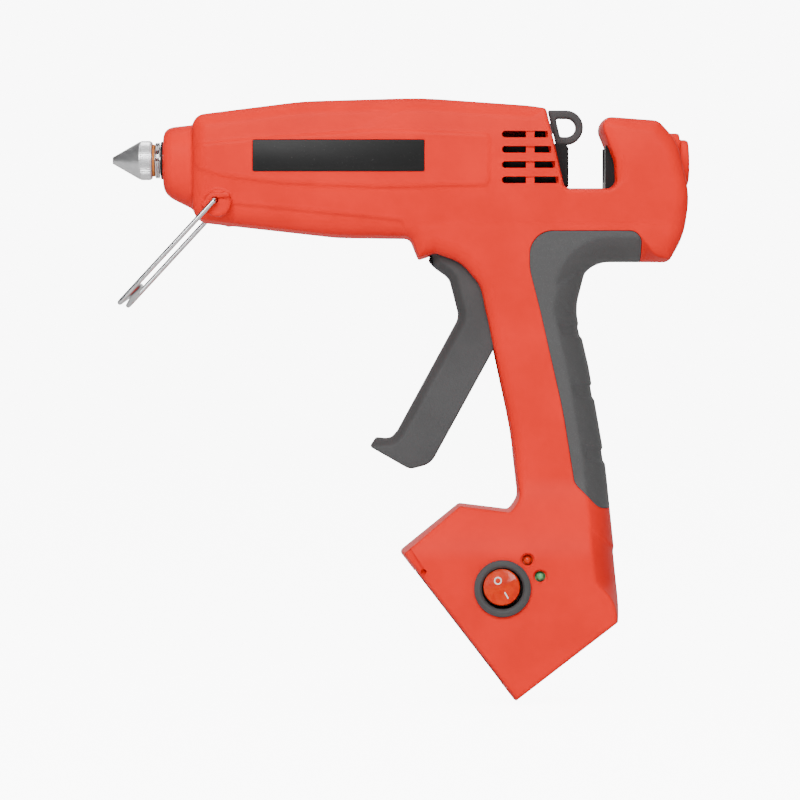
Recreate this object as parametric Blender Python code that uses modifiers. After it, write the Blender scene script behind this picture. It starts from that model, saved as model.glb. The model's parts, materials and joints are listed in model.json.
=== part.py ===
"""Cordless hot-melt glue gun, built as the separate parts it comes apart into.

Millimetres are used for every dimension here and turned into metres when a mesh
is made.  -X is the nozzle end, +X the glue-stick inlet, +Z is up.  The left half
of the housing, with the switch, is on the -Y side.  The origin is under the
middle of the object, on the level of its lowest corner.
"""

import math

import bmesh
import bpy
from mathutils import Matrix, Vector

MM = 0.001
GAP = 0.3                     # clearance between pieces that touch

# Driving dimensions
STICK_RADIUS = 5.6            # 11.2 mm glue sticks
AXIS_Z = 220.9                # height of the nozzle and glue-stick axis
COLLAR_CENTRE = (0, 219.9)    # y, z of the rings round the inlet
BARREL_HALF = 24.0            # half widths along Y
SNOUT_HALF = 15.0
HANDLE_HALF = 18.5
FOOT_HALF = 28.5
WALL = 2.4                    # housing wall
GRIP_THICK = 2.0              # soft grip laid into the housing
TRIGGER_PIVOT = (18.0, 185.0)
TRIGGER_HALF = 11.2
PIN_HALF = 21.4               # trigger pin, held in the wall on each side
BRACKET_HALF = 19.4           # brackets that carry the melt chamber
LINK_PIN = (22.0, 205.0)      # trigger arm to links
CARRIAGE_PIN = (47.0, 203.5)  # links to carriage
CARRIAGE_HALF = 13.5
ROD_Y = 10.6
ROD_Z = 203.5
ROD_RADIUS = 1.5
STAND_PIVOT = (-75.1, 203.6)
STAND_HALF = 28.6
WIRE_Y = 16.5                 # heater wires in the barrel
SWITCH = (40.9, 46.9)
BEZEL_RADIUS = 11.5
ROCKER_RADIUS = 7.4
LAMPS = {"led_red": (51.0, 58.3), "led_green": (56.1, 51.7)}
FOOT_TIP = (46.5, 0.0)        # lowest corner of the foot
FOOT_FRONT = (-0.7, 61.2)     # corner between the battery face and the short front face
SCREWS = [(-58, 199.6), (-70, 236.3), (-6, 236.8), (-8, 196.6), (98, 196.5), (46.6, 187.5),
          (59.5, 124), (79, 46), (30.5, 70)]

# Outlines are (x, z, corner radius), clockwise as seen from the left side
TRUNK = [(-85.3, 239.0, 6), (-40, 244.7, 120), (8, 246.3, 150), (52, 243.0, 60), (59.3, 241.9, 0),
         (66.9, 209.4, 3), (87.4, 209.4, 3), (86.9, 219.5, 10), (78.9, 238.9, 5.6),
         (104.6, 236.9, 5.6), (112.4, 228.4, 20), (117.7, 206, 32), (115.4, 190, 32),
         (109.4, 179.2, 5.6), (72.4, 179.2, 13), (72.0, 156, 0), (34.4, 158, 0), (31.8, 169.5, 12),
         (24, 178.6, 15), (14, 182.2, 0), (6.9, 180.0, 0), (3.4, 188.8, 4),
         (-26, 189.2, 80), (-83.0, 195.6, 6), (-85.3, 201, 0)]
SNOUT = [(-97.1, 233.9, 4.6), (-80, 235.6, 0), (-80, 198.6, 0), (-97.1, 207.9, 4.6)]
HANDLE = [(33.5, 178, 0), (76, 178, 0), (71.4, 160, 10), (76.8, 137, 60), (83.6, 98, 200),
          (87.2, 62, 0), (47.0, 62, 0), (47.3, 86, 0), (44.4, 111, 150), (38.8, 137, 150),
          (33.5, 162, 0)]
FOOT = [FOOT_FRONT + (0,), (23.6, 80.9, 5.6), (44, 78.4, 0), (66, 89, 20), (84.6, 83, 6),
        (88.9, 40, 60), (88.6, 32.4, 0), FOOT_TIP + (0,)]
GRIP_ZONE = [(52.0, 191.6, 9.5), (97.6, 191.6, 5), (97.6, 150, 0), (97.6, 78.8, 0),
             (80.5, 78.8, 6), (70.2, 89, 6), (65.6, 118, 200), (56.4, 159, 60), (52.0, 176, 20)]
TRIGGER = [(11.9, 182.6, 0), (13.6, 188.5, 0), (26.0, 187, 0), (37.0, 163, 8), (38.6, 145.0, 12),
           (12.2, 96.9, 8), (3.6, 94.6, 5), (-12.8, 104.4, 0), (-10.2, 107.4, 0), (-4.2, 107.6, 0),
           (-1.6, 110.4, 5), (23.6, 156.8, 7), (19.6, 172.6, 6), (13.4, 177.0, 0)]
TRIGGER_HOLLOW = [(22.0, 180, 0), (60, 164, 0), (60, 100, 0), (10.0, 98.4, 3), (0.4, 103.4, 3),
                  (1.6, 110.2, 5), (26.1, 156.4, 6), (20.6, 170.5, 4)]
TRIGGER_SLOT = [(10.9, 170, 0), (10.9, 189.5, 0), (27, 189.5, 0), (46, 160, 0), (52, 112, 0),
                (46, 103, 0), (36, 103, 0), (28, 158, 0)]

RED = (0.87, 0.10, 0.06, 1)
DARK_GREY = (0.09, 0.09, 0.09, 1)
BLACK = (0.02, 0.02, 0.02, 1)
STEEL = (0.62, 0.62, 0.63, 1)
COLOURS = {                   # name: (colour, roughness, metallic)
    "red_plastic": (RED, 0.5, 0),
    "grip_rubber": (DARK_GREY, 0.75, 0),
    "grey_plastic": (DARK_GREY, 0.6, 0),
    "black_plastic": (BLACK, 0.5, 0),
    "label": (BLACK, 0.35, 0),
    "aluminium": ((0.78, 0.78, 0.78, 1), 0.35, 1),
    "chrome": ((0.8, 0.8, 0.8, 1), 0.1, 1),
    "orange_seal": ((0.7, 0.25, 0.05, 1), 0.6, 0),
    "silicone": ((0.6, 0.2, 0.12, 1), 0.6, 0),
    "red_lens": ((0.6, 0.02, 0.01, 1), 0.15, 0),
    "green_lens": ((0.05, 0.4, 0.08, 1), 0.15, 0),
    "brass": ((0.8, 0.6, 0.3, 1), 0.3, 1),
    "steel": (STEEL, 0.3, 1),
    "circuit_board": ((0.02, 0.2, 0.06, 1), 0.5, 0),
    "wire": ((0.6, 0.03, 0.02, 1), 0.5, 0),
}


def clear_scene():
    """Start from an empty scene, with one collection for the object and one for cutters."""
    for old in list(bpy.data.objects):
        bpy.data.objects.remove(old, do_unlink=True)
    collections = []
    for name in ("glue_gun", "cutters"):
        collection = bpy.data.collections.new(name)
        bpy.context.scene.collection.children.link(collection)
        collections.append(collection)
    return collections


PARTS, CUTTERS = clear_scene()


def material(name):
    """Return the named Principled material, made on first use."""
    found = bpy.data.materials.get(name)
    if found:
        return found
    colour, roughness, metallic = COLOURS[name]
    made = bpy.data.materials.new(name)
    made.use_nodes = True
    shader = made.node_tree.nodes["Principled BSDF"]
    shader.inputs["Base Color"].default_value = colour
    shader.inputs["Roughness"].default_value = roughness
    shader.inputs["Metallic"].default_value = metallic
    made.diffuse_color = colour
    return made


def add_mesh(name, mesh):
    """Put a mesh in the cutters' collection as a working solid."""
    solid = bpy.data.objects.new(name, mesh)
    solid.hide_render = True
    solid.display_type = "WIRE"
    CUTTERS.objects.link(solid)
    return solid


def mesh_from(name, shape):
    """Make a working solid from a bmesh, welded and with its faces turned outwards."""
    bmesh.ops.remove_doubles(shape, verts=shape.verts, dist=0.002 * MM)
    bmesh.ops.recalc_face_normals(shape, faces=shape.faces)
    mesh = bpy.data.meshes.new(name)
    shape.to_mesh(mesh)
    shape.free()
    return add_mesh(name, mesh)


def bake(source, name):
    """Turn a curve, or an object with modifiers, into a working solid in world space."""
    bpy.context.view_layer.update()
    evaluated = source.evaluated_get(bpy.context.evaluated_depsgraph_get())
    mesh = bpy.data.meshes.new_from_object(evaluated)
    mesh.transform(source.matrix_world)
    bpy.data.objects.remove(source, do_unlink=True)
    shape = bmesh.new()
    shape.from_mesh(mesh)
    return mesh_from(name, shape)


def round_outline(corners, step=math.radians(30)):
    """Turn (x, z, radius) corners into points, each corner becoming an arc of its radius."""
    points = []
    for index, (x, z, radius) in enumerate(corners):
        corner = Vector((x, z))
        before = (Vector(corners[index - 1][:2]) - corner).normalized()
        after = (Vector(corners[(index + 1) % len(corners)][:2]) - corner).normalized()
        if radius <= 0:
            points.append(corner)
            continue
        half = before.angle(after) / 2
        centre = corner + (before + after).normalized() * (radius / math.sin(half))
        spoke = corner + before * (radius / math.tan(half)) - centre
        sweep = math.copysign(math.pi - 2 * half, after.cross(before))
        steps = math.ceil(abs(sweep) / step)
        points += [centre + Matrix.Rotation(sweep * k / steps, 2) @ spoke for k in range(steps + 1)]
    return points


def inset(corners, distance):
    """Move every side of a clockwise outline inwards, changing the corner radii to suit."""
    moved = []
    for index, (x, z, radius) in enumerate(corners):
        corner = Vector((x, z))
        arriving = (corner - Vector(corners[index - 1][:2])).normalized()
        leaving = (Vector(corners[(index + 1) % len(corners)][:2]) - corner).normalized()
        normal_in = Vector((arriving.y, -arriving.x))
        normal_out = Vector((leaving.y, -leaving.x))
        corner += (normal_in + normal_out) * (distance / (1 + normal_in.dot(normal_out)))
        convex = arriving.cross(leaving) < 0
        rounded = radius - distance if convex else radius + distance
        moved.append((corner.x, corner.y, rounded if radius > 0 and rounded > GAP else 0))
    return moved


def slab(name, corners, half, edge=0.0, middle=0.0):
    """A flat outline in the XZ plane, thickened along Y, with rounded edges if asked."""
    curve = bpy.data.curves.new(name, "CURVE")
    curve.dimensions = "2D"
    curve.fill_mode = "BOTH"
    curve.extrude = (half - edge) * MM
    curve.bevel_depth = edge * MM
    curve.bevel_resolution = 1
    curve.render_resolution_u = 0
    spline = curve.splines.new("POLY")
    points = round_outline(inset(corners, edge))
    spline.points.add(len(points) - 1)
    for place, point in zip(spline.points, points):
        place.co = (point.x * MM, point.y * MM, 0, 1)
    spline.use_cyclic_u = True
    source = bpy.data.objects.new(name, curve)
    source.location.y = middle * MM
    source.rotation_euler.x = math.pi / 2
    CUTTERS.objects.link(source)
    return bake(source, name)


def box(name, x, y, z, turn=0.0):
    """A box between pairs of limits; turn tilts it about Y around its own middle."""
    shape = bmesh.new()
    bmesh.ops.create_cube(shape, size=MM)
    size = [high - low for low, high in (x, y, z)]
    middle = [(high + low) / 2 * MM for low, high in (x, y, z)]
    bmesh.ops.scale(shape, vec=size, verts=shape.verts)
    place = Matrix.Translation(middle) @ Matrix.Rotation(turn, 4, "Y")
    bmesh.ops.transform(shape, matrix=place, verts=shape.verts)
    return mesh_from(name, shape)


def rod(name, start, end, radius, end_radius=None, sides=24):
    """A round bar or cone between two points."""
    start, end = Vector(start), Vector(end)
    along = end - start
    shape = bmesh.new()
    bmesh.ops.create_cone(shape, cap_ends=True, segments=sides, radius1=radius * MM,
                          radius2=(radius if end_radius is None else end_radius) * MM,
                          depth=along.length * MM)
    place = Matrix.Translation((start + end) / 2 * MM)
    place @= Vector((0, 0, 1)).rotation_difference(along).to_matrix().to_4x4()
    bmesh.ops.transform(shape, matrix=place, verts=shape.verts)
    return mesh_from(name, shape)


def turned(name, profile, centre=(0, AXIS_Z), steps=24):
    """A closed (x, radius) profile turned about an axis along X through (y, z)."""
    mesh = bpy.data.meshes.new(name)
    edges = [(k, (k + 1) % len(profile)) for k in range(len(profile))]
    mesh.from_pydata([(x * MM, 0, radius * MM) for x, radius in profile], edges, [])
    source = bpy.data.objects.new(name, mesh)
    source.location = (0, centre[0] * MM, centre[1] * MM)
    CUTTERS.objects.link(source)
    screw = source.modifiers.new("turn", "SCREW")
    screw.axis = "X"
    screw.steps = screw.render_steps = steps
    screw.use_merge_vertices = True
    screw.merge_threshold = 1e-6
    return bake(source, name)


def tube(name, points, radius, resolution=2, cyclic=False):
    """A round wire along a list of points."""
    curve = bpy.data.curves.new(name, "CURVE")
    curve.dimensions = "3D"
    curve.bevel_depth = radius * MM
    curve.bevel_resolution = resolution
    curve.use_fill_caps = True
    curve.render_resolution_u = 0
    spline = curve.splines.new("POLY")
    spline.points.add(len(points) - 1)
    for place, point in zip(spline.points, points):
        place.co = (point[0] * MM, point[1] * MM, point[2] * MM, 1)
    spline.use_cyclic_u = cyclic
    source = bpy.data.objects.new(name, curve)
    CUTTERS.objects.link(source)
    return bake(source, name)


def boolean(target, tool, operation, keep=False):
    """Combine two working solids; the tool is used up unless it is kept."""
    change = target.modifiers.new(operation.lower(), "BOOLEAN")
    change.operation = operation
    change.solver = "EXACT"
    change.object = tool
    changed = bake(target, target.name)
    if not keep:
        bpy.data.objects.remove(tool, do_unlink=True)
    return changed


def union(first, *others):
    for other in others:
        first = boolean(first, other, "UNION")
    return first


def cut(first, *tools):
    for tool in tools:
        first = boolean(first, tool, "DIFFERENCE")
    return first


def copy_of(solid):
    return add_mesh(solid.name, solid.data.copy())


def part(name, solid, finish, pivot=(0, 0, 0)):
    """Make a working solid a named part, with its origin on its own joint's axis."""
    place = Vector(pivot) * MM
    solid.data.transform(Matrix.Translation(-place))
    solid.location = place
    solid.name = solid.data.name = name
    solid.hide_render = False
    solid.display_type = "TEXTURED"
    CUTTERS.objects.unlink(solid)
    PARTS.objects.link(solid)
    solid.data.materials.clear()
    solid.data.materials.append(material(finish))
    solid.data.shade_smooth()
    solid.data.set_sharp_from_angle(angle=math.radians(35))
    return solid


def side_box(side, margin=GAP / 2):
    """Everything on one side of the middle plane; side is -1 for left and 1 for right."""
    limits = sorted((side * margin, side * 60))
    return box("side", (-150, 150), limits, (-20, 270))


def battery_frame(along, inwards):
    """A point in the foot: mm along the battery face from its front corner, and mm inwards."""
    direction = (Vector(FOOT_TIP) - Vector(FOOT_FRONT)).normalized()
    inward = Vector((-direction.y, direction.x))
    return Vector(FOOT_FRONT) + direction * along + inward * inwards


def battery_box(name, along, y, inwards):
    """A box lined up with the battery face of the foot."""
    corners = [battery_frame(a, i) for a, i in ((along[0], inwards[0]), (along[0], inwards[1]),
                                               (along[1], inwards[1]), (along[1], inwards[0]))]
    half = (y[1] - y[0]) / 2
    return slab(name, [(c.x, c.y, 0) for c in corners], half, middle=(y[0] + y[1]) / 2)


# ---------------------------------------------------------------- housing and grip

def body_solid(depth):
    """The outer form of the whole housing, moved inwards by depth."""
    pieces = [slab("trunk", inset(TRUNK, depth), BARREL_HALF - depth, 4.0),
              slab("snout", inset(SNOUT, depth), SNOUT_HALF - depth, 4.0),
              slab("handle", inset(HANDLE, depth), HANDLE_HALF - depth, 6.0),
              slab("foot", inset(FOOT, depth), FOOT_HALF - depth, 4.0)]
    return union(*pieces)


def rear_collar():
    """Two stepped rings round the glue-stick inlet."""
    profiles = ([(100, 0), (113.8, 0), (113.8, 10.9), (112.8, 11.9), (100, 11.9)],
                [(100, 0), (118.2, 0), (118.2, 8.4), (117.2, 9.4), (100, 9.4)])
    return [turned("collar", profile, COLLAR_CENTRE) for profile in profiles]


def cavity():
    """The hollow inside the housing, cut to leave screw bosses."""
    trunk = slab("hollow", inset(TRUNK, WALL), BARREL_HALF - WALL)
    trunk = cut(trunk, slab("grip_back", inset(GRIP_ZONE, -GRIP_THICK - 0.4), 40))
    snout = slab("hollow", inset(SNOUT, WALL), SNOUT_HALF - WALL)
    depth = GRIP_THICK + WALL
    handle = slab("hollow", inset(HANDLE, depth), HANDLE_HALF - depth)
    foot = slab("hollow", inset(FOOT, WALL), FOOT_HALF - WALL)
    hollow = union(trunk, snout, handle, foot)
    for x, z in SCREWS:
        hollow = cut(hollow, rod("boss", (x, -40, z), (x, 40, z), 3.8, sides=10))
    return hollow


def vent_cutters():
    """Four louvre slots through both sides at the rear of the barrel."""
    tools = []
    slanted = Vector((66.9 - 59.3, 209.4 - 241.9)).normalized()
    for row in range(4):
        high = 231.7 - 6.15 * row
        rear = 59.3 + (241.9 - high) * slanted.x / -slanted.y - 3.4
        tools.append(box("vent", (40.8, rear), (-40, 40), (high - 2.7, high)))
    return tools


def stand_bosses():
    """Round bosses that carry the wire stand's ends."""
    x, z = STAND_PIVOT
    return [rod("boss", (x, side * 20, z - 0.6), (x, side * 26.6, z - 0.6), 5.6) for side in (-1, 1)]


def housing_cutters():
    """Everything cut through the housing's walls."""
    x, z = STAND_PIVOT
    sx, sz = SWITCH
    tools = vent_cutters()
    tools += [
        rod("nozzle_hole", (-99, 0, AXIS_Z), (-90, 0, AXIS_Z), 8.0),
        rod("inlet_hole", (98, 0, AXIS_Z), (120, 0, AXIS_Z), 7.6),
        box("carriage_door", (58, 74), (-CARRIAGE_HALF - 0.5, CARRIAGE_HALF + 0.5), (209.5, 227.5)),
        box("guide_door", (82.5, 96), (-14.4, 14.4), (204, 226.4)),
        box("loop_slot", (56, 66), (-2.6, 2.6), (231.6, 236.4)),
        slab("trigger_slot", TRIGGER_SLOT, TRIGGER_HALF + 0.6),
        rod("stand_hole", (x, -30, z), (x, 30, z), 1.4, sides=16),
        rod("trigger_pin_hole", (TRIGGER_PIVOT[0], -PIN_HALF - 0.3, TRIGGER_PIVOT[1]),
            (TRIGGER_PIVOT[0], PIN_HALF + 0.3, TRIGGER_PIVOT[1]), 2.3),
        rod("switch_hole", (sx, -40, sz), (sx, -20, sz), 10.2),
        battery_box("battery_door", (9.7, 67.3), (-23.3, 23.3), (-5, 8)),
        slab("tip_slot", [(2.9, 61.9, 0), (10.1, 54.2, 0), (8.3, 52.5, 0), (1.1, 60.2, 0)], 60),
    ]
    for side in (-1, 1):
        label = sorted((side * (BARREL_HALF - 0.5), side * 30))
        tools.append(box("label_recess", (-60.2, 9.7), label, (215.1, 228.3)))
    for lx, lz in LAMPS.values():
        tools.append(rod("lamp_recess", (lx, -40, lz), (lx, -FOOT_HALF + 1.4, lz), 2.95))
        tools.append(rod("lamp_hole", (lx, -40, lz), (lx, -20, lz), 1.8, sides=16))
    for bx, bz in SCREWS:
        tools.append(rod("screw_hole", (bx, -12.6, bz), (bx, 40, bz), 1.9, sides=8))
        tools.append(rod("screw_head", (bx, 8, bz), (bx, 40, bz), 3.2, sides=12))
    return tools


def housing_and_grips():
    zone = slab("zone", inset(GRIP_ZONE, -GAP), 60)
    seat = cut(zone, body_solid(GRIP_THICK + GAP))
    whole = union(body_solid(0), *rear_collar(), *stand_bosses())
    whole = cut(whole, seat, cavity(), *housing_cutters())
    grip = boolean(body_solid(0), slab("zone", GRIP_ZONE, 60), "INTERSECT")
    grip = cut(grip, body_solid(GRIP_THICK))
    for side, label in ((-1, "left"), (1, "right")):
        shell = boolean(copy_of(whole), side_box(side), "INTERSECT")
        part("housing_" + label, shell, "red_plastic")
        part("grip_" + label, boolean(copy_of(grip), side_box(side), "INTERSECT"), "grip_rubber")
        limits = sorted((side * (BARREL_HALF - 0.2), side * (BARREL_HALF + 0.3)))
        part("label_" + label, box("label", (-59.9, 9.4), limits, (215.4, 228.0)), "label")
    for used in (whole, grip):
        bpy.data.objects.remove(used, do_unlink=True)


def housing_screws():
    for number, (x, z) in enumerate(SCREWS, start=1):
        shank = rod("screw", (x, -11, z), (x, 9.5, z), 1.5, sides=8)
        head = rod("screw", (x, 8.4, z), (x, 10.6, z), 2.8, sides=12)
        part(f"housing_screw_{number}", union(shank, head), "steel")


# ---------------------------------------------------------------- heating head

def heating_head():
    nozzle = turned("nozzle", [(-118.0, 0.9), (-118.0, 1.35), (-107.2, 7.6), (-106.9, 8.0),
                               (-102.0, 8.0), (-101.7, 7.7), (-101.7, 5.2), (-108.6, 5.2),
                               (-112.0, 1.2)])
    part("nozzle", nozzle, "aluminium")
    washer = turned("washer", [(-101.4, 5.2), (-101.4, 6.6), (-100.8, 6.6), (-100.8, 5.2)])
    part("nozzle_washer", washer, "orange_seal")
    ring = turned("ring", [(-100.5, 5.2), (-100.5, 6.9), (-100.1, 7.35), (-99.1, 7.35),
                           (-98.7, 6.9), (-98.7, 5.2)])
    part("chamber_ring", ring, "chrome")
    black = turned("ring", [(-98.2, 5.4), (-98.2, 7.5), (-97.9, 7.7), (-92.0, 7.7), (-92.0, 5.4)])
    part("front_insulator_ring", black, "black_plastic")
    chamber = turned("chamber", [(-107.8, 1.6), (-107.8, 4.9), (-91.6, 4.9), (-91.6, 10.0),
                                 (-20, 10.0), (-20, 8.0), (-10, 8.0), (-10, 6.0),
                                 (-84, 6.0), (-90, 1.6)])
    part("melt_chamber", chamber, "aluminium")
    for side, label in ((-1, "left"), (1, "right")):
        limits = sorted((side * 10.4, side * 13.2))
        plate = box("heater", (-74, -36), limits, (AXIS_Z - 7, AXIS_Z + 7))
        part("heater_" + label, plate, "steel")
    clip = box("clip", (-62, -48), (-14.3, 14.3), (AXIS_Z - 11.3, AXIS_Z + 11.3))
    clip = cut(clip, box("clip", (-63, -47), (-13.5, 13.5), (AXIS_Z - 10.5, AXIS_Z + 10.5)))
    part("heater_clip", clip, "steel")
    part("thermistor", rod("thermistor", (-44, 0, AXIS_Z + 11.9), (-35, 0, AXIS_Z + 11.9), 1.5,
                           sides=12), "black_plastic")
    for label, x, low, high in (("front", -81.0, 202.0, 234.5), ("rear", -26.0, 196.0, 240.5)):
        plate = box("bracket", (x, x + 3), (-BRACKET_HALF, BRACKET_HALF), (low, high))
        plate = cut(plate, rod("bracket", (x - 2, 0, AXIS_Z), (x + 5, 0, AXIS_Z), 10.3))
        if label == "rear":
            plate = cut(plate, *[rod("hole", (x - 2, y, 214), (x + 5, y, 214), 1.3, sides=12)
                                 for y in (-WIRE_Y, WIRE_Y)])
        part(label + "_bracket", plate, "black_plastic")
    sleeve = turned("sleeve", [(-19.6, 8.3), (-19.6, 10.0), (-8, 10.0), (-4, 8.4), (12, 8.4),
                               (12, 6.2), (-9.7, 6.2), (-9.7, 8.3)])
    part("inlet_sleeve", sleeve, "silicone")
    ring = turned("ring", [(-15.5, 10.3), (-15.5, 11.5), (-14.3, 11.5), (-14.3, 10.3)])
    part("sleeve_clip", ring, "steel")


# ---------------------------------------------------------------- feed mechanism

def feed_mechanism():
    rod_cuts = [(ROD_Y, ROD_Z), (-ROD_Y, ROD_Z)]
    holder = box("holder", (3.5, 6.5), (-BRACKET_HALF, BRACKET_HALF), (198.5, 209.5))
    holder = cut(holder, *[rod("hole", (0, y, z), (10, y, z), 1.8, sides=16) for y, z in rod_cuts])
    part("rod_holder", holder, "black_plastic")
    outline = [(42, 229.0, 2), (56.5, 229.0, 0), (58.5, 227.1, 0), (68.1, 227.1, 2.2),
               (68.1, 209.8, 0), (63, 209.8, 0), (63, 199.2, 0), (42, 199.2, 0)]
    carriage = slab("carriage", outline, CARRIAGE_HALF, 0.6)
    tools = [rod("hole", (38, y, z), (70, y, z), 1.8, sides=16) for y, z in rod_cuts]
    tools.append(rod("bore", (38, 0, AXIS_Z), (72, 0, AXIS_Z), STICK_RADIUS + 0.6))
    tools.append(box("cradle", (38, 72), (-STICK_RADIUS - 0.6, STICK_RADIUS + 0.6), (AXIS_Z, 235)))
    tools.append(box("lever_slot", (40, 60), (-3, 3), (196, 218)))
    tools += [box("link_slot", (40, 52), sorted((side * 2.5, side * 6)), (198, 209))
              for side in (-1, 1)]
    tools += [rod("pin_hole", (x, -8, z), (x, 8, z), 1.7, sides=16)
              for x, z in (CARRIAGE_PIN, (55.0, 208.0))]
    carriage = cut(carriage, *tools)
    part("feed_carriage", carriage, "black_plastic", (55, 0, AXIS_Z))
    lever = slab("lever", [(50.5, 214.2, 1), (57.8, 214.2, 1), (58.2, 204.6, 2), (51.5, 204.6, 2)],
                 2.6)
    lever = cut(lever, rod("hole", (55, -5, 208), (55, 5, 208), 1.6, sides=16))
    part("clamp_lever", lever, "steel", (55, 0, 208))
    part("clamp_pin", rod("pin", (55, -7.7, 208), (55, 7.7, 208), 1.3, sides=12), "steel")
    ax, az = LINK_PIN
    bx, bz = CARRIAGE_PIN
    for side, label in ((-1, "left"), (1, "right")):
        bar = slab("link", [(ax - 3.2, az + 3.2, 3), (bx + 3.2, bz + 3.2, 3),
                            (bx + 3.2, bz - 3.2, 3), (ax - 3.2, az - 3.2, 3)], 0.8,
                   middle=side * 4.3)
        holes = [rod("hole", (x, side * 2, z), (x, side * 7, z), r, sides=16)
                 for x, z, r in ((ax, az, 2.3), (bx, bz, 1.7))]
        part("link_" + label, cut(bar, *holes), "steel")
    part("carriage_pin", rod("pin", (bx, -7.7, bz), (bx, 7.7, bz), 1.4, sides=12), "steel")
    for side, label in ((-1, "left"), (1, "right")):
        y = side * ROD_Y
        part("guide_rod_" + label, rod("rod", (1, y, ROD_Z), (86, y, ROD_Z), ROD_RADIUS, sides=16),
             "steel")
        part("return_spring_" + label, coil(6.9, 41.6, y, ROD_Z, 2.3, 0.45, 6), "steel")
    guide = box("guide", (83.0, 87.0), (-14, 14), (197.5, 226.0))
    tools = [rod("hole", (80, y, z), (90, y, z), 1.8, sides=16) for y, z in rod_cuts]
    tools.append(rod("bore", (80, 0, AXIS_Z - 2.5), (90, 0, AXIS_Z - 2.5), 7.0))
    guide = cut(guide, *tools, box("mouth", (80, 90), (-7, 7), (AXIS_Z - 2.5, 230)))
    part("rear_guide", guide, "black_plastic")
    bush = turned("bush", [(103, 6.2), (103, 7.3), (117.4, 7.3), (117.4, 6.2)])
    part("inlet_bush", bush, "black_plastic")


def coil(start, end, y, z, radius, wire, turns):
    """A compression spring along X."""
    per_turn = 10
    count = turns * per_turn
    points = []
    for k in range(count + 1):
        angle = 2 * math.pi * k / per_turn
        x = start + wire + (end - start - 2 * wire) * k / count
        points.append((x, y + radius * math.cos(angle), z + radius * math.sin(angle)))
    return tube("spring", points, wire, 0)


def trigger_group():
    px, pz = TRIGGER_PIVOT
    ax, az = LINK_PIN
    shell = slab("trigger", TRIGGER, TRIGGER_HALF, 2.0)
    shell = cut(shell, slab("hollow", TRIGGER_HOLLOW, TRIGGER_HALF - 2.2))
    lean = math.atan2(ax - px, az - pz)
    arm = box("arm", (-3.2, 3.2), (-3, 3), (0, math.hypot(ax - px, az - pz)))
    arm.data.transform(Matrix.Translation((px * MM, 0, pz * MM)) @ Matrix.Rotation(lean, 4, "Y"))
    tip = rod("tip", (ax, -3, az), (ax, 3, az), 3.2)
    hub = rod("hub", (px, -TRIGGER_HALF, pz), (px, TRIGGER_HALF, pz), 4.6)
    lever = union(shell, hub, arm, tip)
    lever = cut(lever, rod("hole", (px, -20, pz), (px, 20, pz), 2.3),
                rod("hole", (ax, -20, az), (ax, 20, az), 1.9, sides=16))
    part("trigger", lever, "grey_plastic", (px, 0, pz))
    part("trigger_pin", rod("pin", (px, -PIN_HALF, pz), (px, PIN_HALF, pz), 2.0, sides=16), "steel")
    part("link_pin", rod("pin", (ax, -5.9, az), (ax, 5.9, az), 1.5, sides=12), "steel",
         (px, 0, pz))


# ---------------------------------------------------------------- stand and loop

def bend(before, corner, after, radius, steps=3):
    """Points of a round bend of a wire at a corner."""
    before, corner, after = Vector(before), Vector(corner), Vector(after)
    back = (before - corner).normalized() * radius
    forward = (after - corner).normalized() * radius
    weights = [k / steps for k in range(steps + 1)]
    return [corner + back * (1 - t) ** 2 + forward * t ** 2 for t in weights]


def wire_stand():
    """One wire: two ends in the bosses, two legs, two feet and an arched cross piece."""
    px, pz = STAND_PIVOT
    leg = Vector((-38.6, 0, -41.8))
    down = leg.normalized()
    pivot = Vector((px, -STAND_HALF, pz))
    foot = pivot + leg
    shoulder = foot + Vector((0, 14, 0)) - down * 4
    apex = Vector((foot.x, 0, foot.z)) - down * 13
    corners = [Vector((px, -20.5, pz)), pivot, foot, shoulder, apex]
    corners += [Vector((c.x, -c.y, c.z)) for c in reversed(corners[:4])]
    radii = {1: 1.2, 2: 2.5, 3: 2, 4: 9, 5: 2, 6: 2.5, 7: 1.2}
    points = [corners[0]]
    for index, radius in radii.items():
        points += bend(corners[index - 1], corners[index], corners[index + 1], radius)
    points.append(corners[-1])
    part("wire_stand", tube("stand", points, 1.0), "chrome", (px, 0, pz))


def hang_loop():
    ring = slab("loop", [(60.0, 241.4, 0), (74.5, 241.4, 7.1), (74.5, 227.2, 7.1), (63.4, 227.2, 0)],
                2.6, 0.8)
    tang = box("tang", (56.6, 62.2), (-2.2, 2.2), (232.0, 236.0))
    hook = box("hook", (54.6, 56.9), (-4.5, 4.5), (230.5, 237.5))
    loop = union(ring, tang, hook)
    eye = slab("eye", [(63.6, 238.2, 0), (71.3, 238.2, 3.8), (71.3, 230.4, 3.8), (65.4, 230.4, 0)], 9)
    part("hang_loop", cut(loop, eye), "grey_plastic")


# ---------------------------------------------------------------- foot

def rocker_switch():
    """Round rocker switch in the left side of the foot; its off end is pressed in at rest."""
    sx, sz = SWITCH
    face = -FOOT_HALF
    bezel = rod("bezel", (sx, face - 0.3, sz), (sx, face - 2.0, sz), BEZEL_RADIUS, 10.6)
    barrel = rod("barrel", (sx, face - 1.0, sz), (sx, -14, sz), 9.8)
    body = cut(union(bezel, barrel), rod("well", (sx, face - 5, sz), (sx, -19, sz), 8.4))
    lugs = [box("lug", (sx + k * 5 - 0.4, sx + k * 5 + 0.4), (-15, -7), (sz - 2.4, sz + 2.4))
            for k in (-1, 0, 1)]
    part("switch_body", union(body, *lugs), "grey_plastic")
    rocker = rod("rocker", (sx, face - 0.9, sz), (sx, -21.5, sz), ROCKER_RADIUS)
    across = Vector((0.862, 0, 0.508))
    swing = Matrix.Rotation(math.radians(-8), 4, across)
    centre = Vector((sx, -23.5, sz)) * MM
    rocker.data.transform(Matrix.Translation(centre) @ swing @ Matrix.Translation(-centre))
    part("rocker", rocker, "red_lens", (sx, -23.5, sz))


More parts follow.
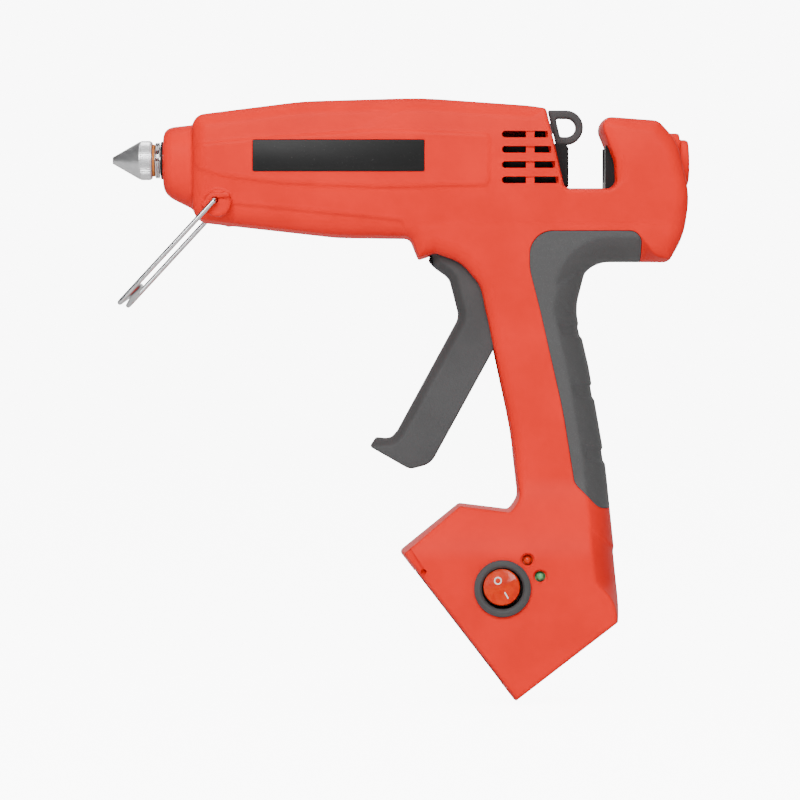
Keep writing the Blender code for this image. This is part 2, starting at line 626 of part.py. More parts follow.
def lamps():
    face = -FOOT_HALF
    for name, (x, z) in LAMPS.items():
        lens = rod("lens", (x, face + 0.6, z), (x, -20.2, z), 1.5, sides=16)
        flange = rod("flange", (x, -24.6, z), (x, -23.6, z), 2.3, sides=16)
        finish = "red_lens" if name == "led_red" else "green_lens"
        part(name, union(lens, flange), finish)
    board = slab("board", [(48.5, 61, 0), (59, 61, 0), (59.5, 49, 0), (52.6, 49, 0)], 0.8, middle=-19.1)
    part("lamp_board", board, "circuit_board")


def battery_dock():
    """Tray with two rails in the battery face, and the terminal block in it."""
    tray = battery_box("tray", (10, 67), (-23, 23), (0.6, 12.5))
    pocket = battery_box("pocket", (12, 65), (-20.5, 20.5), (-2, 10.5))
    rails = [battery_box("rail", (14, 67), sorted((side * 17.5, side * 21)), (0.6, 3.0))
             for side in (-1, 1)]
    part("battery_dock", union(cut(tray, pocket), *rails), "black_plastic")
    block = battery_box("block", (34, 52), (-9, 9), (4.2, 10.2))
    slots = [battery_box("slot", (30, 46), (y - 1.1, y + 1.1), (3, 8.4)) for y in (-6, 0, 6)]
    part("terminal_block", cut(block, *slots), "black_plastic")
    for name, y in (("blade_minus", -6), ("blade_sense", 0), ("blade_plus", 6)):
        part(name, battery_box("blade", (34.5, 45.7), (y - 0.4, y + 0.4), (4.6, 8.1)), "brass")


def boards_and_wires():
    board = slab("board", [(49, 40, 0), (61, 66, 0), (76, 59, 0), (64, 33, 0)], 0.8, middle=-5)
    part("control_board", board, "circuit_board")
    for label, y in (("black", -WIRE_Y), ("red", WIRE_Y)):
        near = y * 0.6
        route = [(66, near, 66), (67, near, 92), (65, near, 112), (66, near, 126), (62, near, 148),
                 (53, y * 0.74, 164), (45, y * 0.8, 176), (38, y * 0.95, 190), (20, y, 195),
                 (5, y, 195), (-2, y, 203), (-12, y, 211), (-19, y, 214), (-27, y, 214),
                 (-32, y * 0.85, 215), (-35, y * 0.75, 216)]
        part("heater_wire_" + label, tube("wire", smooth(route), 0.9, 1), "wire")


def smooth(route, parts=3):
    """Points of a smooth curve through a route's own points (Catmull-Rom)."""
    points = [Vector(p) for p in route]
    padded = [points[0] * 2 - points[1]] + points + [points[-1] * 2 - points[-2]]
    result = []
    for a, b, c, d in zip(padded, padded[1:], padded[2:], padded[3:]):
        for k in range(parts):
            t = k / parts
            result.append(0.5 * ((2 * b) + (c - a) * t + (2 * a - 5 * b + 4 * c - d) * t ** 2
                                 + (3 * b - a - 3 * c + d) * t ** 3))
    return result + [points[-1]]


housing_and_grips()
housing_screws()
heating_head()
feed_mechanism()
trigger_group()
wire_stand()
hang_loop()
rocker_switch()
lamps()
battery_dock()
boards_and_wires()
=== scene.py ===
"""Looks of a cordless hot-melt glue gun, laid out as an add-on.

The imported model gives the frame.  Lengths in the outlines below are millimetres
in the frame's own axes: -X is the nozzle end, +Z is up, and the switch is on -Y.
"""

import json
import math

import bmesh
import bpy
import numpy as np
import openvdb
from bpy.props import FloatProperty, FloatVectorProperty, IntProperty, PointerProperty
from mathutils import Matrix, Vector


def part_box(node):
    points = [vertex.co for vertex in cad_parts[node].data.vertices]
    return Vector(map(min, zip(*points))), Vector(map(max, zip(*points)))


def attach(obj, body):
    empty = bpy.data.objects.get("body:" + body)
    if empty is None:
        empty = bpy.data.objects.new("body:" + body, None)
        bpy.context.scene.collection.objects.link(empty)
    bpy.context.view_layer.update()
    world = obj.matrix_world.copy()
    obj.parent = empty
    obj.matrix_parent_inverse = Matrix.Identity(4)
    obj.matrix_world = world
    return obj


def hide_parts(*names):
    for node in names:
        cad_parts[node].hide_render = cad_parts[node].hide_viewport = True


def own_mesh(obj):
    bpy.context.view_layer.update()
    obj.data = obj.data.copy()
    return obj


bl_info = {
    "name": "Glue gun looks",
    "version": (1, 0, 0),
    "blender": (4, 5, 0),
    "location": "View3D > Sidebar > Glue gun",
    "description": "Builds the housing, grip, trigger, head and switch of a cordless glue gun",
    "category": "Object",
}

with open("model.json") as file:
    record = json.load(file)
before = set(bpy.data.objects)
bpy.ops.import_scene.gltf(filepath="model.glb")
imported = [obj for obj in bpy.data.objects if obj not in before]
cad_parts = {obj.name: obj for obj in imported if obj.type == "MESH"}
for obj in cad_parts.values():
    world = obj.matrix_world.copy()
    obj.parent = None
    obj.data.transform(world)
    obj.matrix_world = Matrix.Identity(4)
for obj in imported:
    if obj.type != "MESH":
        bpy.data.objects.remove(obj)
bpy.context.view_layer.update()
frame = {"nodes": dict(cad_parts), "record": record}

MM = 0.001
AXIS_Z = 220.9                # height of the glue-stick axis
COLLAR = (0.0, 219.9)         # y, z of the collar's centre
SNOUT_HALF = 15.0
FOOT_HALF = 28.5
TRIGGER_PIVOT = (18.0, 185.0)
TRIGGER_HALF = 11.2
LINK_PIN = (22.0, 205.0)
STAND_PIVOT = (-75.1, 203.6)
STAND_HALF = 28.6
SWITCH = (40.9, 46.9)
ROCKER_TILT = math.radians(-8)
ROCKER_AXIS = Vector((0.862, 0, 0.508))
LAMPS = {"led_red": (51.0, 58.3), "led_green": (56.1, 51.7)}
FOOT_FRONT = (-0.7, 61.2)
FOOT_TIP = (46.5, 0.0)
SCREWS = [(-58, 199.6), (-70, 236.3), (-6, 236.8), (-8, 196.6), (98, 196.5), (46.6, 187.5),
          (59.5, 124), (79, 46), (30.5, 70)]

# Outlines are (x, z, corner radius), clockwise as seen from the left side
TRUNK = [(-85.3, 239.0, 6), (-40, 244.7, 120), (8, 246.1, 150), (52, 243.0, 60), (59.3, 241.9, 2),
         (66.9, 209.4, 2.2), (86.6, 209.4, 3), (86.0, 219.5, 10), (78.2, 238.9, 4.8),
         (104.6, 236.9, 5.6), (112.4, 228.4, 20), (117.7, 206, 32), (115.4, 190, 32),
         (109.4, 179.2, 3), (72.4, 179.2, 13), (72.0, 156, 0), (34.4, 158, 0), (31.8, 169.5, 12),
         (24, 178.6, 15), (14, 182.2, 0), (6.9, 180.0, 1), (3.4, 188.8, 3),
         (-26, 189.2, 80), (-83.0, 195.6, 6), (-85.3, 201, 0)]
HANDLE = [(33.5, 178, 0), (76, 178, 0), (71.4, 160, 10), (76.8, 137, 60), (83.6, 98, 200),
          (87.2, 62, 0), (47.0, 62, 0), (47.3, 86, 0), (44.4, 111, 150), (38.8, 137, 150),
          (33.5, 162, 0)]
FOOT = [FOOT_FRONT + (1.2,), (23.6, 80.9, 1.5), (44, 78.4, 0), (66, 89, 20), (84.6, 83, 6),
        (88.9, 40, 60), (88.6, 32.4, 1.5), FOOT_TIP + (0.8,)]
GRIP_ZONE = [(52.0, 191.6, 9.5), (97.6, 191.6, 5), (97.6, 150, 0), (97.6, 78.8, 0),
             (80.5, 78.8, 6), (70.2, 89, 6), (65.6, 118, 200), (56.4, 159, 60), (52.0, 176, 20)]
LABEL_PAD = [(-84, 226.2, 4), (-60, 228.6, 60), (-7, 232.1, 60), (35.7, 230.6, 2.5),
             (35.7, 209.6, 2.5), (-7, 208.7, 60), (-48, 210.3, 60), (-72, 213.2, 40), (-84, 217, 4)]
SHOULDER = [(8, 260, 0), (5, 243.5, 12), (-17, 231.6, 14), (-62, 227.6, 0), (-62, 222, 0),
            (50, 222, 0), (50, 260, 0)]
LEDGE = [(-68.5, 202.2, 1), (1.0, 195.4, 2.2), (1.0, 180, 0), (-68.5, 180, 0)]
BOSS_HOOK = [(-80.9, 201.6, 0.3), (-77, 206.6, 0.5), (-69.4, 206.8, 0.5), (-69.2, 204.7, 0.3),
             (-75.6, 204.4, 1), (-79.2, 200.2, 0.3)]
TRIGGER = [(11.9, 182.6, 0), (13.6, 188.5, 0), (26.0, 187, 0), (37.0, 163, 8), (38.6, 145.0, 12),
           (12.2, 96.9, 8), (3.6, 94.6, 5), (-12.9, 104.0, 1.2), (-10.2, 107.9, 1.2),
           (-4.2, 107.6, 3), (-1.6, 110.4, 5), (23.6, 156.8, 7), (19.6, 172.6, 6),
           (13.4, 177.0, 4), (11.2, 179.8, 1)]
TRIGGER_FRONT = [(12.0, 182.0, 0), (13.4, 177.0, 3), (19.6, 172.6, 6), (23.6, 156.8, 7),
                 (-1.6, 110.4, 5), (-4.2, 107.6, 3), (-12.4, 107.2, 0)]
TRIGGER_HOLLOW = [(24.4, 179, 0), (60, 164, 0), (60, 100, 0), (11.0, 99.0, 3), (2.6, 103.4, 3),
                  (3.6, 110.0, 5), (27.8, 156.2, 6), (23.2, 170.0, 4)]
TRIGGER_SLOT = [(10.9, 170, 0), (10.9, 189.5, 0), (27, 189.5, 0), (46, 160, 0), (52, 112, 0),
                (46, 103, 0), (36, 103, 0), (28, 158, 0)]
LOOP = [(60.0, 241.4, 0.6), (74.5, 241.4, 7.1), (74.5, 227.2, 7.1), (63.4, 227.2, 0.6)]
LOOP_EYE = [(63.3, 237.9, 0.8), (71.3, 237.9, 3.8), (71.3, 230.5, 3.8), (65.1, 230.5, 0.8)]


# ---------------------------------------------------------------- settings

def colour(name, description, default):
    return FloatVectorProperty(name=name, description=description, default=default,
                               subtype="COLOR", size=3, min=0.0, max=1.0)


def length(name, description, millimetres):
    return FloatProperty(name=name, description=description, default=millimetres * MM,
                         unit="LENGTH", subtype="DISTANCE", precision=5)


class HousingSettings(bpy.types.PropertyGroup):
    """Sizes and colours of the moulded housing."""

    pitch: length("Sampling", "Spacing of the samples that the shell is meshed from", 0.75)
    wall: length("Wall", "Thickness of the moulded wall", 2.4)
    seam: length("Seam", "Gap left between the two halves", 0.24)
    pad_level: length("Pad level", "Half width over the raised label pad", 24.0)
    barrel_level: length("Barrel level", "Half width of the barrel beside the pad", 23.3)
    crown: length("Crown", "How far the barrel's sides fall away at top and bottom", 1.8)
    handle_level: length("Handle level", "Half width of the handle's flat sides", 17.5)
    red: colour("Red", "Colour of the housing's plastic", (0.96, 0.020, 0.011))
    black: colour("Black", "Colour of the plastic inside", (0.018, 0.018, 0.019))


class GripSettings(bpy.types.PropertyGroup):
    """Sizes and colours of the soft grip."""

    thickness: length("Thickness", "Thickness of the soft grip", 2.0)
    groove: length("Groove", "Gap round the soft grip", 0.22)
    band_depth: length("Band depth", "Depth of the three bands across the back", 0.7)
    rubber: colour("Rubber", "Colour of the soft grip", (0.084, 0.084, 0.085))


class TriggerSettings(bpy.types.PropertyGroup):
    """Sizes and colours of the trigger and the hanging loop."""

    band: length("Front band", "Width of the rounded band along the trigger's front", 3.6)
    grey: colour("Grey", "Colour of the trigger's plastic", (0.080, 0.080, 0.081))


class HeadSettings(bpy.types.PropertyGroup):
    """Sizes and colours of the nozzle and the rings behind it."""

    teeth: IntProperty(name="Teeth", description="Teeth round the nozzle's knurl", default=66,
                       min=8, max=200)
    tooth: length("Tooth height", "Height of one tooth of the knurl", 0.34)
    metal: colour("Metal", "Colour of the nozzle's metal", (0.80, 0.80, 0.81))
    seal: colour("Seal", "Colour of the washer behind the nozzle", (0.62, 0.20, 0.05))


class WireSettings(bpy.types.PropertyGroup):
    """Sizes of the wire stand and the return springs."""

    stand: length("Stand wire", "Diameter of the stand's wire", 2.0)
    spring: length("Spring wire", "Diameter of the springs' wire", 0.9)
    turns: IntProperty(name="Turns", description="Turns of each spring", default=11, min=3, max=40)


class SwitchSettings(bpy.types.PropertyGroup):
    """Colours of the switch and the lamps."""

    lens: colour("Rocker", "Colour of the rocker's clear plastic", (0.80, 0.045, 0.004))
    green: colour("Green lamp", "Colour of the ready lamp", (0.10, 0.42, 0.16))
    mark: colour("Marks", "Colour of the rocker's marks", (0.9, 0.88, 0.86))


class ScrewSettings(bpy.types.PropertyGroup):
    """Sizes of the housing's screws."""

    head: length("Head", "Radius of a screw's head", 2.8)
    seed: IntProperty(name="Seed", description="Decides how far each screw is turned", default=7)


class StageSettings(bpy.types.PropertyGroup):
    """Camera and light."""

    distance: FloatProperty(name="Distance", description="Camera to the middle of the object",
                            default=1.8, unit="LENGTH")
    width: FloatProperty(name="Width", description="Width seen at the object", default=0.3275,
                         unit="LENGTH")
    height: FloatProperty(name="Height", description="Height of the camera", default=0.1229,
                          unit="LENGTH")
    floor: colour("Floor", "Colour of the floor", (0.86, 0.86, 0.86))


# ---------------------------------------------------------------- node graphs

class Value:
    """A number on a node's output, so that sums can be written as expressions."""

    def __init__(self, graph, socket):
        self.graph = graph
        self.socket = socket

    def apply(self, operation, first, second):
        made = self.graph.node("ShaderNodeMath", {"operation": operation}, {0: first, 1: second})
        return Value(self.graph, made.outputs[0])

    def __add__(self, other):
        return self.apply("ADD", self, other)

    def __sub__(self, other):
        return self.apply("SUBTRACT", self, other)

    def __rsub__(self, other):
        return self.apply("SUBTRACT", other, self)

    def __mul__(self, other):
        return self.apply("MULTIPLY", self, other)

    __radd__ = __add__
    __rmul__ = __mul__


class Graph:
    """Adds nodes to a node tree, each with its settings first and then its inputs."""

    def __init__(self, tree):
        self.tree = tree

    def node(self, kind, settings=None, inputs=None):
        made = self.tree.nodes.new(kind)
        for key, value in (settings or {}).items():
            setattr(made, key, value)
        for key, value in (inputs or {}).items():
            socket = value.socket if isinstance(value, Value) else value
            if isinstance(socket, bpy.types.NodeSocket):
                self.tree.links.new(socket, made.inputs[key])
            else:
                made.inputs[key].default_value = socket
        return made


class Finish(Graph):
    """A Principled material under construction."""

    def __init__(self, name, base, roughness, **fixed):
        self.material = bpy.data.materials.new(name)
        self.material.use_nodes = True
        super().__init__(self.material.node_tree)
        self.shader = self.tree.nodes["Principled BSDF"]
        self.shader.inputs["Base Color"].default_value = (*base, 1)
        self.shader.inputs["Roughness"].default_value = roughness
        for key, value in fixed.items():
            self.shader.inputs[key.replace("_", " ")].default_value = value
        self.place = self.node("ShaderNodeTexCoord").outputs["Object"]
        self.base = base

    def mapped(self, stretch):
        made = self.node("ShaderNodeMapping", None, {"Vector": self.place, "Scale": stretch})
        return made.outputs[0]

    def noise(self, size, detail=2.0, stretch=None, distortion=0.0):
        """A soft random pattern about size metres across, from 0 to 1."""
        vector = self.mapped(stretch) if stretch else self.place
        made = self.node("ShaderNodeTexNoise", None, {
            "Vector": vector, "Scale": 1 / size, "Detail": detail, "Distortion": distortion})
        return Value(self, made.outputs["Fac"])

    def pits(self, size):
        """Distance to scattered points about size metres apart."""
        made = self.node("ShaderNodeTexVoronoi", None, {"Vector": self.place, "Scale": 1 / size})
        return Value(self, made.outputs["Distance"])

    def band(self, value, low, high):
        """Value stretched so that low becomes 0 and high becomes 1."""
        made = self.node("ShaderNodeMapRange", {"interpolation_type": "SMOOTHSTEP"}, {
            "Value": value, "From Min": low, "From Max": high})
        return Value(self, made.outputs[0])

    def tint(self, factor, first, second):
        """A colour between two, by factor."""
        made = self.node("ShaderNodeMix", {"data_type": "RGBA"}, {
            "Factor": factor, "A": (*first, 1), "B": (*second, 1)})
        self.tree.links.new(made.outputs["Result"], self.shader.inputs["Base Color"])

    def tint_over(self, factor, second):
        """Lay another colour over the base colour by factor."""
        under = self.shader.inputs["Base Color"].links[0].from_socket
        made = self.node("ShaderNodeMix", {"data_type": "RGBA"}, {"B": (*second, 1)})
        self.tree.links.new(factor.socket, made.inputs["Factor"])
        self.tree.links.new(under, made.inputs[6])
        self.tree.links.new(made.outputs["Result"], self.shader.inputs["Base Color"])

    def roughness(self, value):
        self.tree.links.new(value.socket, self.shader.inputs["Roughness"])

    def bump(self, height, distance, strength=1.0):
        made = self.node("ShaderNodeBump", None, {
            "Height": height, "Distance": distance, "Strength": strength})
        self.tree.links.new(made.outputs[0], self.shader.inputs["Normal"])


def shade(base, factor):
    return tuple(channel * factor for channel in base)


def moulded_plastic(name, base, roughness=0.42, grain=0.00035, depth=0.000012, spread=0.05):
    """Spark-textured plastic with faint clouds and pale flow lines."""
    finish = Finish(name, base, roughness, Specular_IOR_Level=0.06)
    clouds = finish.noise(0.022, 3.0)
    finish.tint(finish.band(clouds, 0.3, 0.7), shade(base, 1 - spread), shade(base, 1 + spread))
    flow = finish.noise(0.03, 4.0, stretch=(0.35, 1.0, 1.6), distortion=1.4)
    lines = finish.band(flow, 0.492, 0.5) * (1 - finish.band(flow, 0.5, 0.508))
    paler = tuple(channel + 0.012 for channel in base)
    finish.tint_over(lines * finish.noise(0.05) * 0.35, paler)
    texture = finish.noise(grain, 2.0)
    finish.roughness(finish.band(clouds, 0.2, 0.8) * 0.06 + texture * 0.05 + (roughness - 0.055))
    finish.bump(texture + finish.noise(0.0011, 1.0) * 0.5, depth)
    return finish.material


def soft_rubber(name, base):
    """Overmoulded rubber: leather-like grain, dusty sheen and slight polish."""
    finish = Finish(name, base, 0.62, Specular_IOR_Level=0.3, Sheen_Weight=0.08,
                    Sheen_Roughness=0.5)
    grain = finish.pits(0.00062)
    fine = finish.noise(0.0003, 2.0)
    speck = finish.band(fine, 0.56, 0.72)
    finish.tint(speck, shade(base, 0.93), shade(base, 1.35))
    finish.roughness(finish.noise(0.012) * 0.12 + fine * 0.1 + 0.5)
    finish.bump(grain * 0.8 + fine * 0.5, 0.00004)
    return finish.material


def turned_metal(name, base, roughness, grooves):
    """Machined metal with fine turning lines across X and light handling marks."""
    finish = Finish(name, base, roughness, Metallic=1.0)
    lines = finish.noise(grooves, 2.0, stretch=(1.0, 0.02, 0.02))
    marks = finish.noise(0.002, 4.0)
    finish.tint(finish.band(marks, 0.35, 0.7), shade(base, 0.9), base)
    finish.roughness(lines * 0.16 + marks * 0.08 + (roughness - 0.1))
    finish.bump(lines, 0.000006)
    return finish.material


def drawn_wire(name, base, roughness):
    """Plated wire, almost smooth, with faint pulls along its length."""
    finish = Finish(name, base, roughness, Metallic=1.0)
    pulls = finish.noise(0.0006, 3.0, stretch=(0.2, 1.0, 0.2))
    finish.tint(finish.band(pulls, 0.3, 0.7), shade(base, 0.86), base)
    finish.roughness(pulls * 0.1 + (roughness - 0.03))
    finish.bump(pulls, 0.000004)
    return finish.material


def clear_lens(name, base, inner):
    """Coloured clear plastic with depth and a moulded face."""
    finish = Finish(name, base, 0.16, Specular_IOR_Level=0.35, Coat_Roughness=0.05)
    finish.shader.inputs["Subsurface Weight"].default_value = 0.25
    finish.shader.inputs["Subsurface Radius"].default_value = (1.0, 0.2, 0.1)
    finish.shader.inputs["Subsurface Scale"].default_value = 0.0015
    depth = finish.noise(0.004, 2.0, stretch=(1.0, 0.4, 1.0))
    finish.tint(finish.band(depth, 0.3, 0.7), base, inner)
    finish.roughness(finish.noise(0.003) * 0.08 + 0.1)
    finish.bump(finish.noise(0.0016), 0.00002)
    return finish.material


def film(name, base):
    """Satin printed film with a few dust specks."""
    finish = Finish(name, base, 0.42, Specular_IOR_Level=0.18)
    dust = finish.band(finish.noise(0.0006, 3.0), 0.66, 0.74)
    finish.tint(dust * 0.5, base, tuple(channel + 0.05 for channel in base))
    finish.roughness(finish.noise(0.01) * 0.1 + 0.37)
    finish.bump(finish.noise(0.0009), 0.000004)
    return finish.material


def laminate(name, base):
    """Circuit board: solder mask over woven glass, with tinned tracks."""
    finish = Finish(name, base, 0.4)
    weave = finish.noise(0.0005, 1.0, stretch=(1.0, 0.2, 1.0))
    tracks = finish.band(finish.noise(0.004, 0.0, stretch=(1.0, 0.1, 0.3)), 0.52, 0.54)
    finish.tint(weave, shade(base, 0.7), base)
    finish.tint_over(tracks * 0.6, (0.16, 0.36, 0.12))
    finish.roughness(tracks * -0.15 + 0.45)
    finish.bump(tracks + weave * 0.3, 0.00003)
    return finish.material


FINISHES = {}


def make_finishes(scene):
    """Every material, by the record's slot it belongs to."""
    housing, grip, trigger = scene.glue_housing, scene.glue_grip, scene.glue_trigger
    head, switch = scene.glue_head, scene.glue_switch
    return {
        "red_plastic": moulded_plastic("red_plastic", housing.red),
        "black_plastic": moulded_plastic("black_plastic", housing.black, 0.38),
        "grey_plastic": moulded_plastic("grey_plastic", trigger.grey, 0.5, 0.0005, 0.00003, 0.08),
        "grip_rubber": soft_rubber("grip_rubber", grip.rubber),
        "label_plate": film("label_plate", (0.012, 0.012, 0.012)),
        "aluminium": turned_metal("aluminium", head.metal, 0.36, 0.00025),
        "chrome": drawn_wire("chrome", (0.76, 0.76, 0.77), 0.12),
        "orange_seal": moulded_plastic("orange_seal", head.seal, 0.55, 0.0004, 0.00003),
        "silicone": moulded_plastic("silicone", (0.45, 0.12, 0.07), 0.5),
        "red_lens": clear_lens("red_lens", switch.lens, (0.66, 0.018, 0.002)),
        "green_lens": clear_lens("green_lens", switch.green, (0.16, 0.55, 0.24)),
        "brass": turned_metal("brass", (0.78, 0.57, 0.26), 0.3, 0.0004),
        "steel": turned_metal("steel", (0.55, 0.55, 0.56), 0.32, 0.0003),
        "circuit_board": laminate("circuit_board", (0.01, 0.13, 0.035)),
        "wire_red": moulded_plastic("wire_red", (0.5, 0.02, 0.015), 0.45),
        "wire_black": moulded_plastic("wire_black", (0.015, 0.015, 0.015), 0.45),
        "mark": moulded_plastic("mark", switch.mark, 0.5),
    }


def finish_of(slot):
    """The looks' own material for a slot, rather than the CAD's of the same name."""
    if not FINISHES:
        FINISHES.update(make_finishes(bpy.context.scene))
    return FINISHES[slot]


# ---------------------------------------------------------------- outlines and fields

def round_outline(corners, step=math.radians(5), closed=True):
    """Turn (x, z, radius) corners into points in metres, each corner becoming an arc."""
    points = []
    for index, (x, z, radius) in enumerate(corners):
        corner = Vector((x, z)) * MM
        ends = not closed and index in (0, len(corners) - 1)
        if radius <= 0 or ends:
            points.append(corner)
            continue
        before = (Vector(corners[index - 1][:2]) * MM - corner).normalized()
        after = (Vector(corners[(index + 1) % len(corners)][:2]) * MM - corner).normalized()
        half = before.angle(after) / 2
        centre = corner + (before + after).normalized() * (radius * MM / math.sin(half))
        spoke = corner + before * (radius * MM / math.tan(half)) - centre
        sweep = math.copysign(math.pi - 2 * half, after.cross(before))
        steps = max(2, math.ceil(abs(sweep) / step))
        points += [centre + Matrix.Rotation(sweep * k / steps, 2) @ spoke for k in range(steps + 1)]
    return points


def outline_distance(points, x, z, closed=True):
    """Distance to an outline; negative inside it where it is closed."""
    nearest = np.full(x.shape, np.inf, np.float32)
    inside = np.zeros(x.shape, bool)
    count = len(points) if closed else len(points) - 1
    for k in range(count):
        (ax, az), (bx, bz) = points[k], points[(k + 1) % len(points)]
        dx, dz = bx - ax, bz - az
        along = ((x - ax) * dx + (z - az) * dz) / max(dx * dx + dz * dz, 1e-18)
        along = np.clip(along, 0, 1)
        gap = (x - ax - dx * along) ** 2 + (z - az - dz * along) ** 2
        nearest = np.minimum(nearest, gap)
        if closed:
            crosses = (az > z) != (bz > z)
            rise = dz if abs(dz) > 1e-12 else 1e-12
            inside ^= crosses & (x < dx * (z - az) / rise + ax)
    distance = np.sqrt(nearest)
    return np.where(inside, -distance, distance) if closed else distance


def ease(value, low, high):
    """0 up to low, 1 from high on, and smooth between."""
    t = np.clip((value - low) / (high - low), 0, 1)
    return t * t * (3 - 2 * t)


def smooth_min(first, second, reach):
    blend = np.maximum(reach - np.abs(first - second), 0) / reach
    return np.minimum(first, second) - blend * blend * reach / 4


def smooth_max(first, second, reach):
    return -smooth_min(-first, -second, reach)


def rounded_slab(flat, across, half, edge):
    """Distance to a slab with rounded edges, from distances in its plane and across it."""
    out = flat + edge
    side = across - half + edge
    corner = np.hypot(np.maximum(out, 0), np.maximum(side, 0))
    return np.minimum(np.maximum(out, side), 0) + corner - edge


class Samples:
    """A box of evenly spaced samples, x and z as a plane and y along a third direction."""

    def __init__(self, low, high, pitch):
        self.low = Vector(low)
        self.pitch = pitch
        counts = [int(math.ceil((b - a) / pitch)) + 1 for a, b in zip(low, high)]
        xs, ys, zs = [a + pitch * np.arange(n) for a, n in zip(low, counts)]
        self.x, self.z = np.meshgrid(xs, zs, indexing="ij")
        self.y = ys

    def lifted(self, plane):
        """A value over the xz plane, ready to be combined with y."""
        return plane[:, None, :]

    @property
    def across(self):
        return np.abs(self.y)[None, :, None]

    def mesh(self, name, field, coarser=1):
        """A working solid along the surface where the field is zero."""
        values = field[::coarser, ::coarser, ::coarser].astype(np.float32)
        pitch = self.pitch * coarser
        grid = openvdb.FloatGrid(1.0)
        grid.copyFromArray(values / pitch)
        points, triangles, quads = grid.convertToPolygons(0.0, 0.0)
        places = points * pitch + np.array(self.low)
        mesh = bpy.data.meshes.new(name)
        mesh.from_pydata(places.tolist(), [], triangles.tolist() + quads.tolist())
        return outwards(mesh)


# ---------------------------------------------------------------- working solids

def outwards(mesh):
    """Turn a closed mesh's faces outwards and make it an object."""
    shape = bmesh.new()
    shape.from_mesh(mesh)
    bmesh.ops.remove_doubles(shape, verts=shape.verts, dist=1e-7)
    if shape.calc_volume(signed=True) < 0:
        bmesh.ops.reverse_faces(shape, faces=shape.faces)
    shape.to_mesh(mesh)
    shape.free()
    return in_scene(mesh.name, mesh)


def discard(*objects):
    for used in objects:
        bpy.data.objects.remove(used, do_unlink=True)


def in_scene(name, data):
    piece = bpy.data.objects.new(name, data)
    bpy.context.scene.collection.objects.link(piece)
    return piece


def solid_from(name, shape):
    """Make an object from a closed bmesh, its faces turned outwards."""
    bmesh.ops.remove_doubles(shape, verts=shape.verts, dist=1e-7)
    bmesh.ops.recalc_face_normals(shape, faces=shape.faces)
    mesh = bpy.data.meshes.new(name)
    shape.to_mesh(mesh)
    shape.free()
    return in_scene(name, mesh)


def made_mesh(source):
    """A plain mesh of what an object's modifiers make."""
    bpy.context.view_layer.update()
    evaluated = source.evaluated_get(bpy.context.evaluated_depsgraph_get())
    return bpy.data.meshes.new_from_object(evaluated)


def baked(source):
    """Replace an object by what its modifiers make, in world space."""
    mesh = made_mesh(source)
    mesh.transform(source.matrix_world)
    name = source.name
    discard(source)
    return in_scene(name, mesh)


def prism(name, corners, low, high, step=math.radians(9)):
    """A flat outline in the XZ plane, extruded from y = low to y = high (millimetres)."""
    shape = bmesh.new()
    points = round_outline(corners, step)
    verts = [shape.verts.new((p.x, low * MM, p.y)) for p in points]
    face = shape.faces.new(verts)
    grown = bmesh.ops.extrude_face_region(shape, geom=[face])
    moved = [item for item in grown["geom"] if isinstance(item, bmesh.types.BMVert)]
    bmesh.ops.translate(shape, vec=(0, (high - low) * MM, 0), verts=moved)
    return solid_from(name, shape)


def box(name, x, y, z):
    """A box between pairs of limits, in millimetres."""
    return prism(name, [(x[0], z[0], 0), (x[0], z[1], 0), (x[1], z[1], 0), (x[1], z[0], 0)], *y)


def rod(name, start, end, radius, sides=48):
    """A round bar between two points, in millimetres."""
    start, end = Vector(start), Vector(end)
    along = end - start
    shape = bmesh.new()
    bmesh.ops.create_cone(shape, cap_ends=True, segments=sides, radius1=radius * MM,
                          radius2=radius * MM, depth=along.length * MM)
    place = Matrix.Translation((start + end) / 2 * MM)
    place @= Vector((0, 0, 1)).rotation_difference(along).to_matrix().to_4x4()
    bmesh.ops.transform(shape, matrix=place, verts=shape.verts)
    return solid_from(name, shape)


def turned(name, profile, place, steps=96):
    """A profile of (along, radius) points in millimetres, turned about its axis.

    The profile closes on itself, and points of radius zero lie on the axis.
    place takes the turned shape, whose axis is X, to where it belongs.
    """
    shape = bmesh.new()
    rings = []
    for along, radius in profile:
        if radius <= 0:
            rings.append([shape.verts.new((along * MM, 0, 0))])
            continue
        angles = [2 * math.pi * k / steps for k in range(steps)]
        rings.append([shape.verts.new((along * MM, radius * MM * math.cos(a),
                                       radius * MM * math.sin(a))) for a in angles])
    for near, far in zip(rings, rings[1:] + rings[:1]):
        if len(near) == 1 and len(far) == 1:
            continue
        for k in range(steps):
            after = (k + 1) % steps
            corners = [near[k % len(near)], near[after % len(near)],
                       far[after % len(far)], far[k % len(far)]]
            unique = [v for i, v in enumerate(corners) if v not in corners[:i]]
            shape.faces.new(unique)
    bmesh.ops.transform(shape, matrix=place, verts=shape.verts)
    return solid_from(name, shape)


def round_profile(corners, step=math.radians(15)):
    """An (along, radius, corner) profile with its corners rounded, for turned()."""
    return [(p.x / MM, p.y / MM) for p in round_outline(corners, step)]


def combine(first, tool, operation):
    """Join, cut or intersect two working solids; the tool is used up."""
    for solver in ("MANIFOLD", "EXACT"):
        change = first.modifiers.new("combine", "BOOLEAN")
        change.operation = operation
        change.solver = solver
        change.object = tool
        mesh = made_mesh(first)
        first.modifiers.remove(change)
        if len(mesh.polygons) and len(mesh.polygons) != len(first.data.polygons):
            break
    old = first.data
    first.data = mesh
    bpy.data.meshes.remove(old)
    discard(tool)
    return first


def cut(first, *tools):
    for tool in tools:
        combine(first, tool, "DIFFERENCE")
    return first


def union(first, *others):
    """Join working solids into the first one."""
    for other in others:
        combine(first, other, "UNION")
    return first


def copy_of(source):
    return in_scene(source.name, source.data.copy())


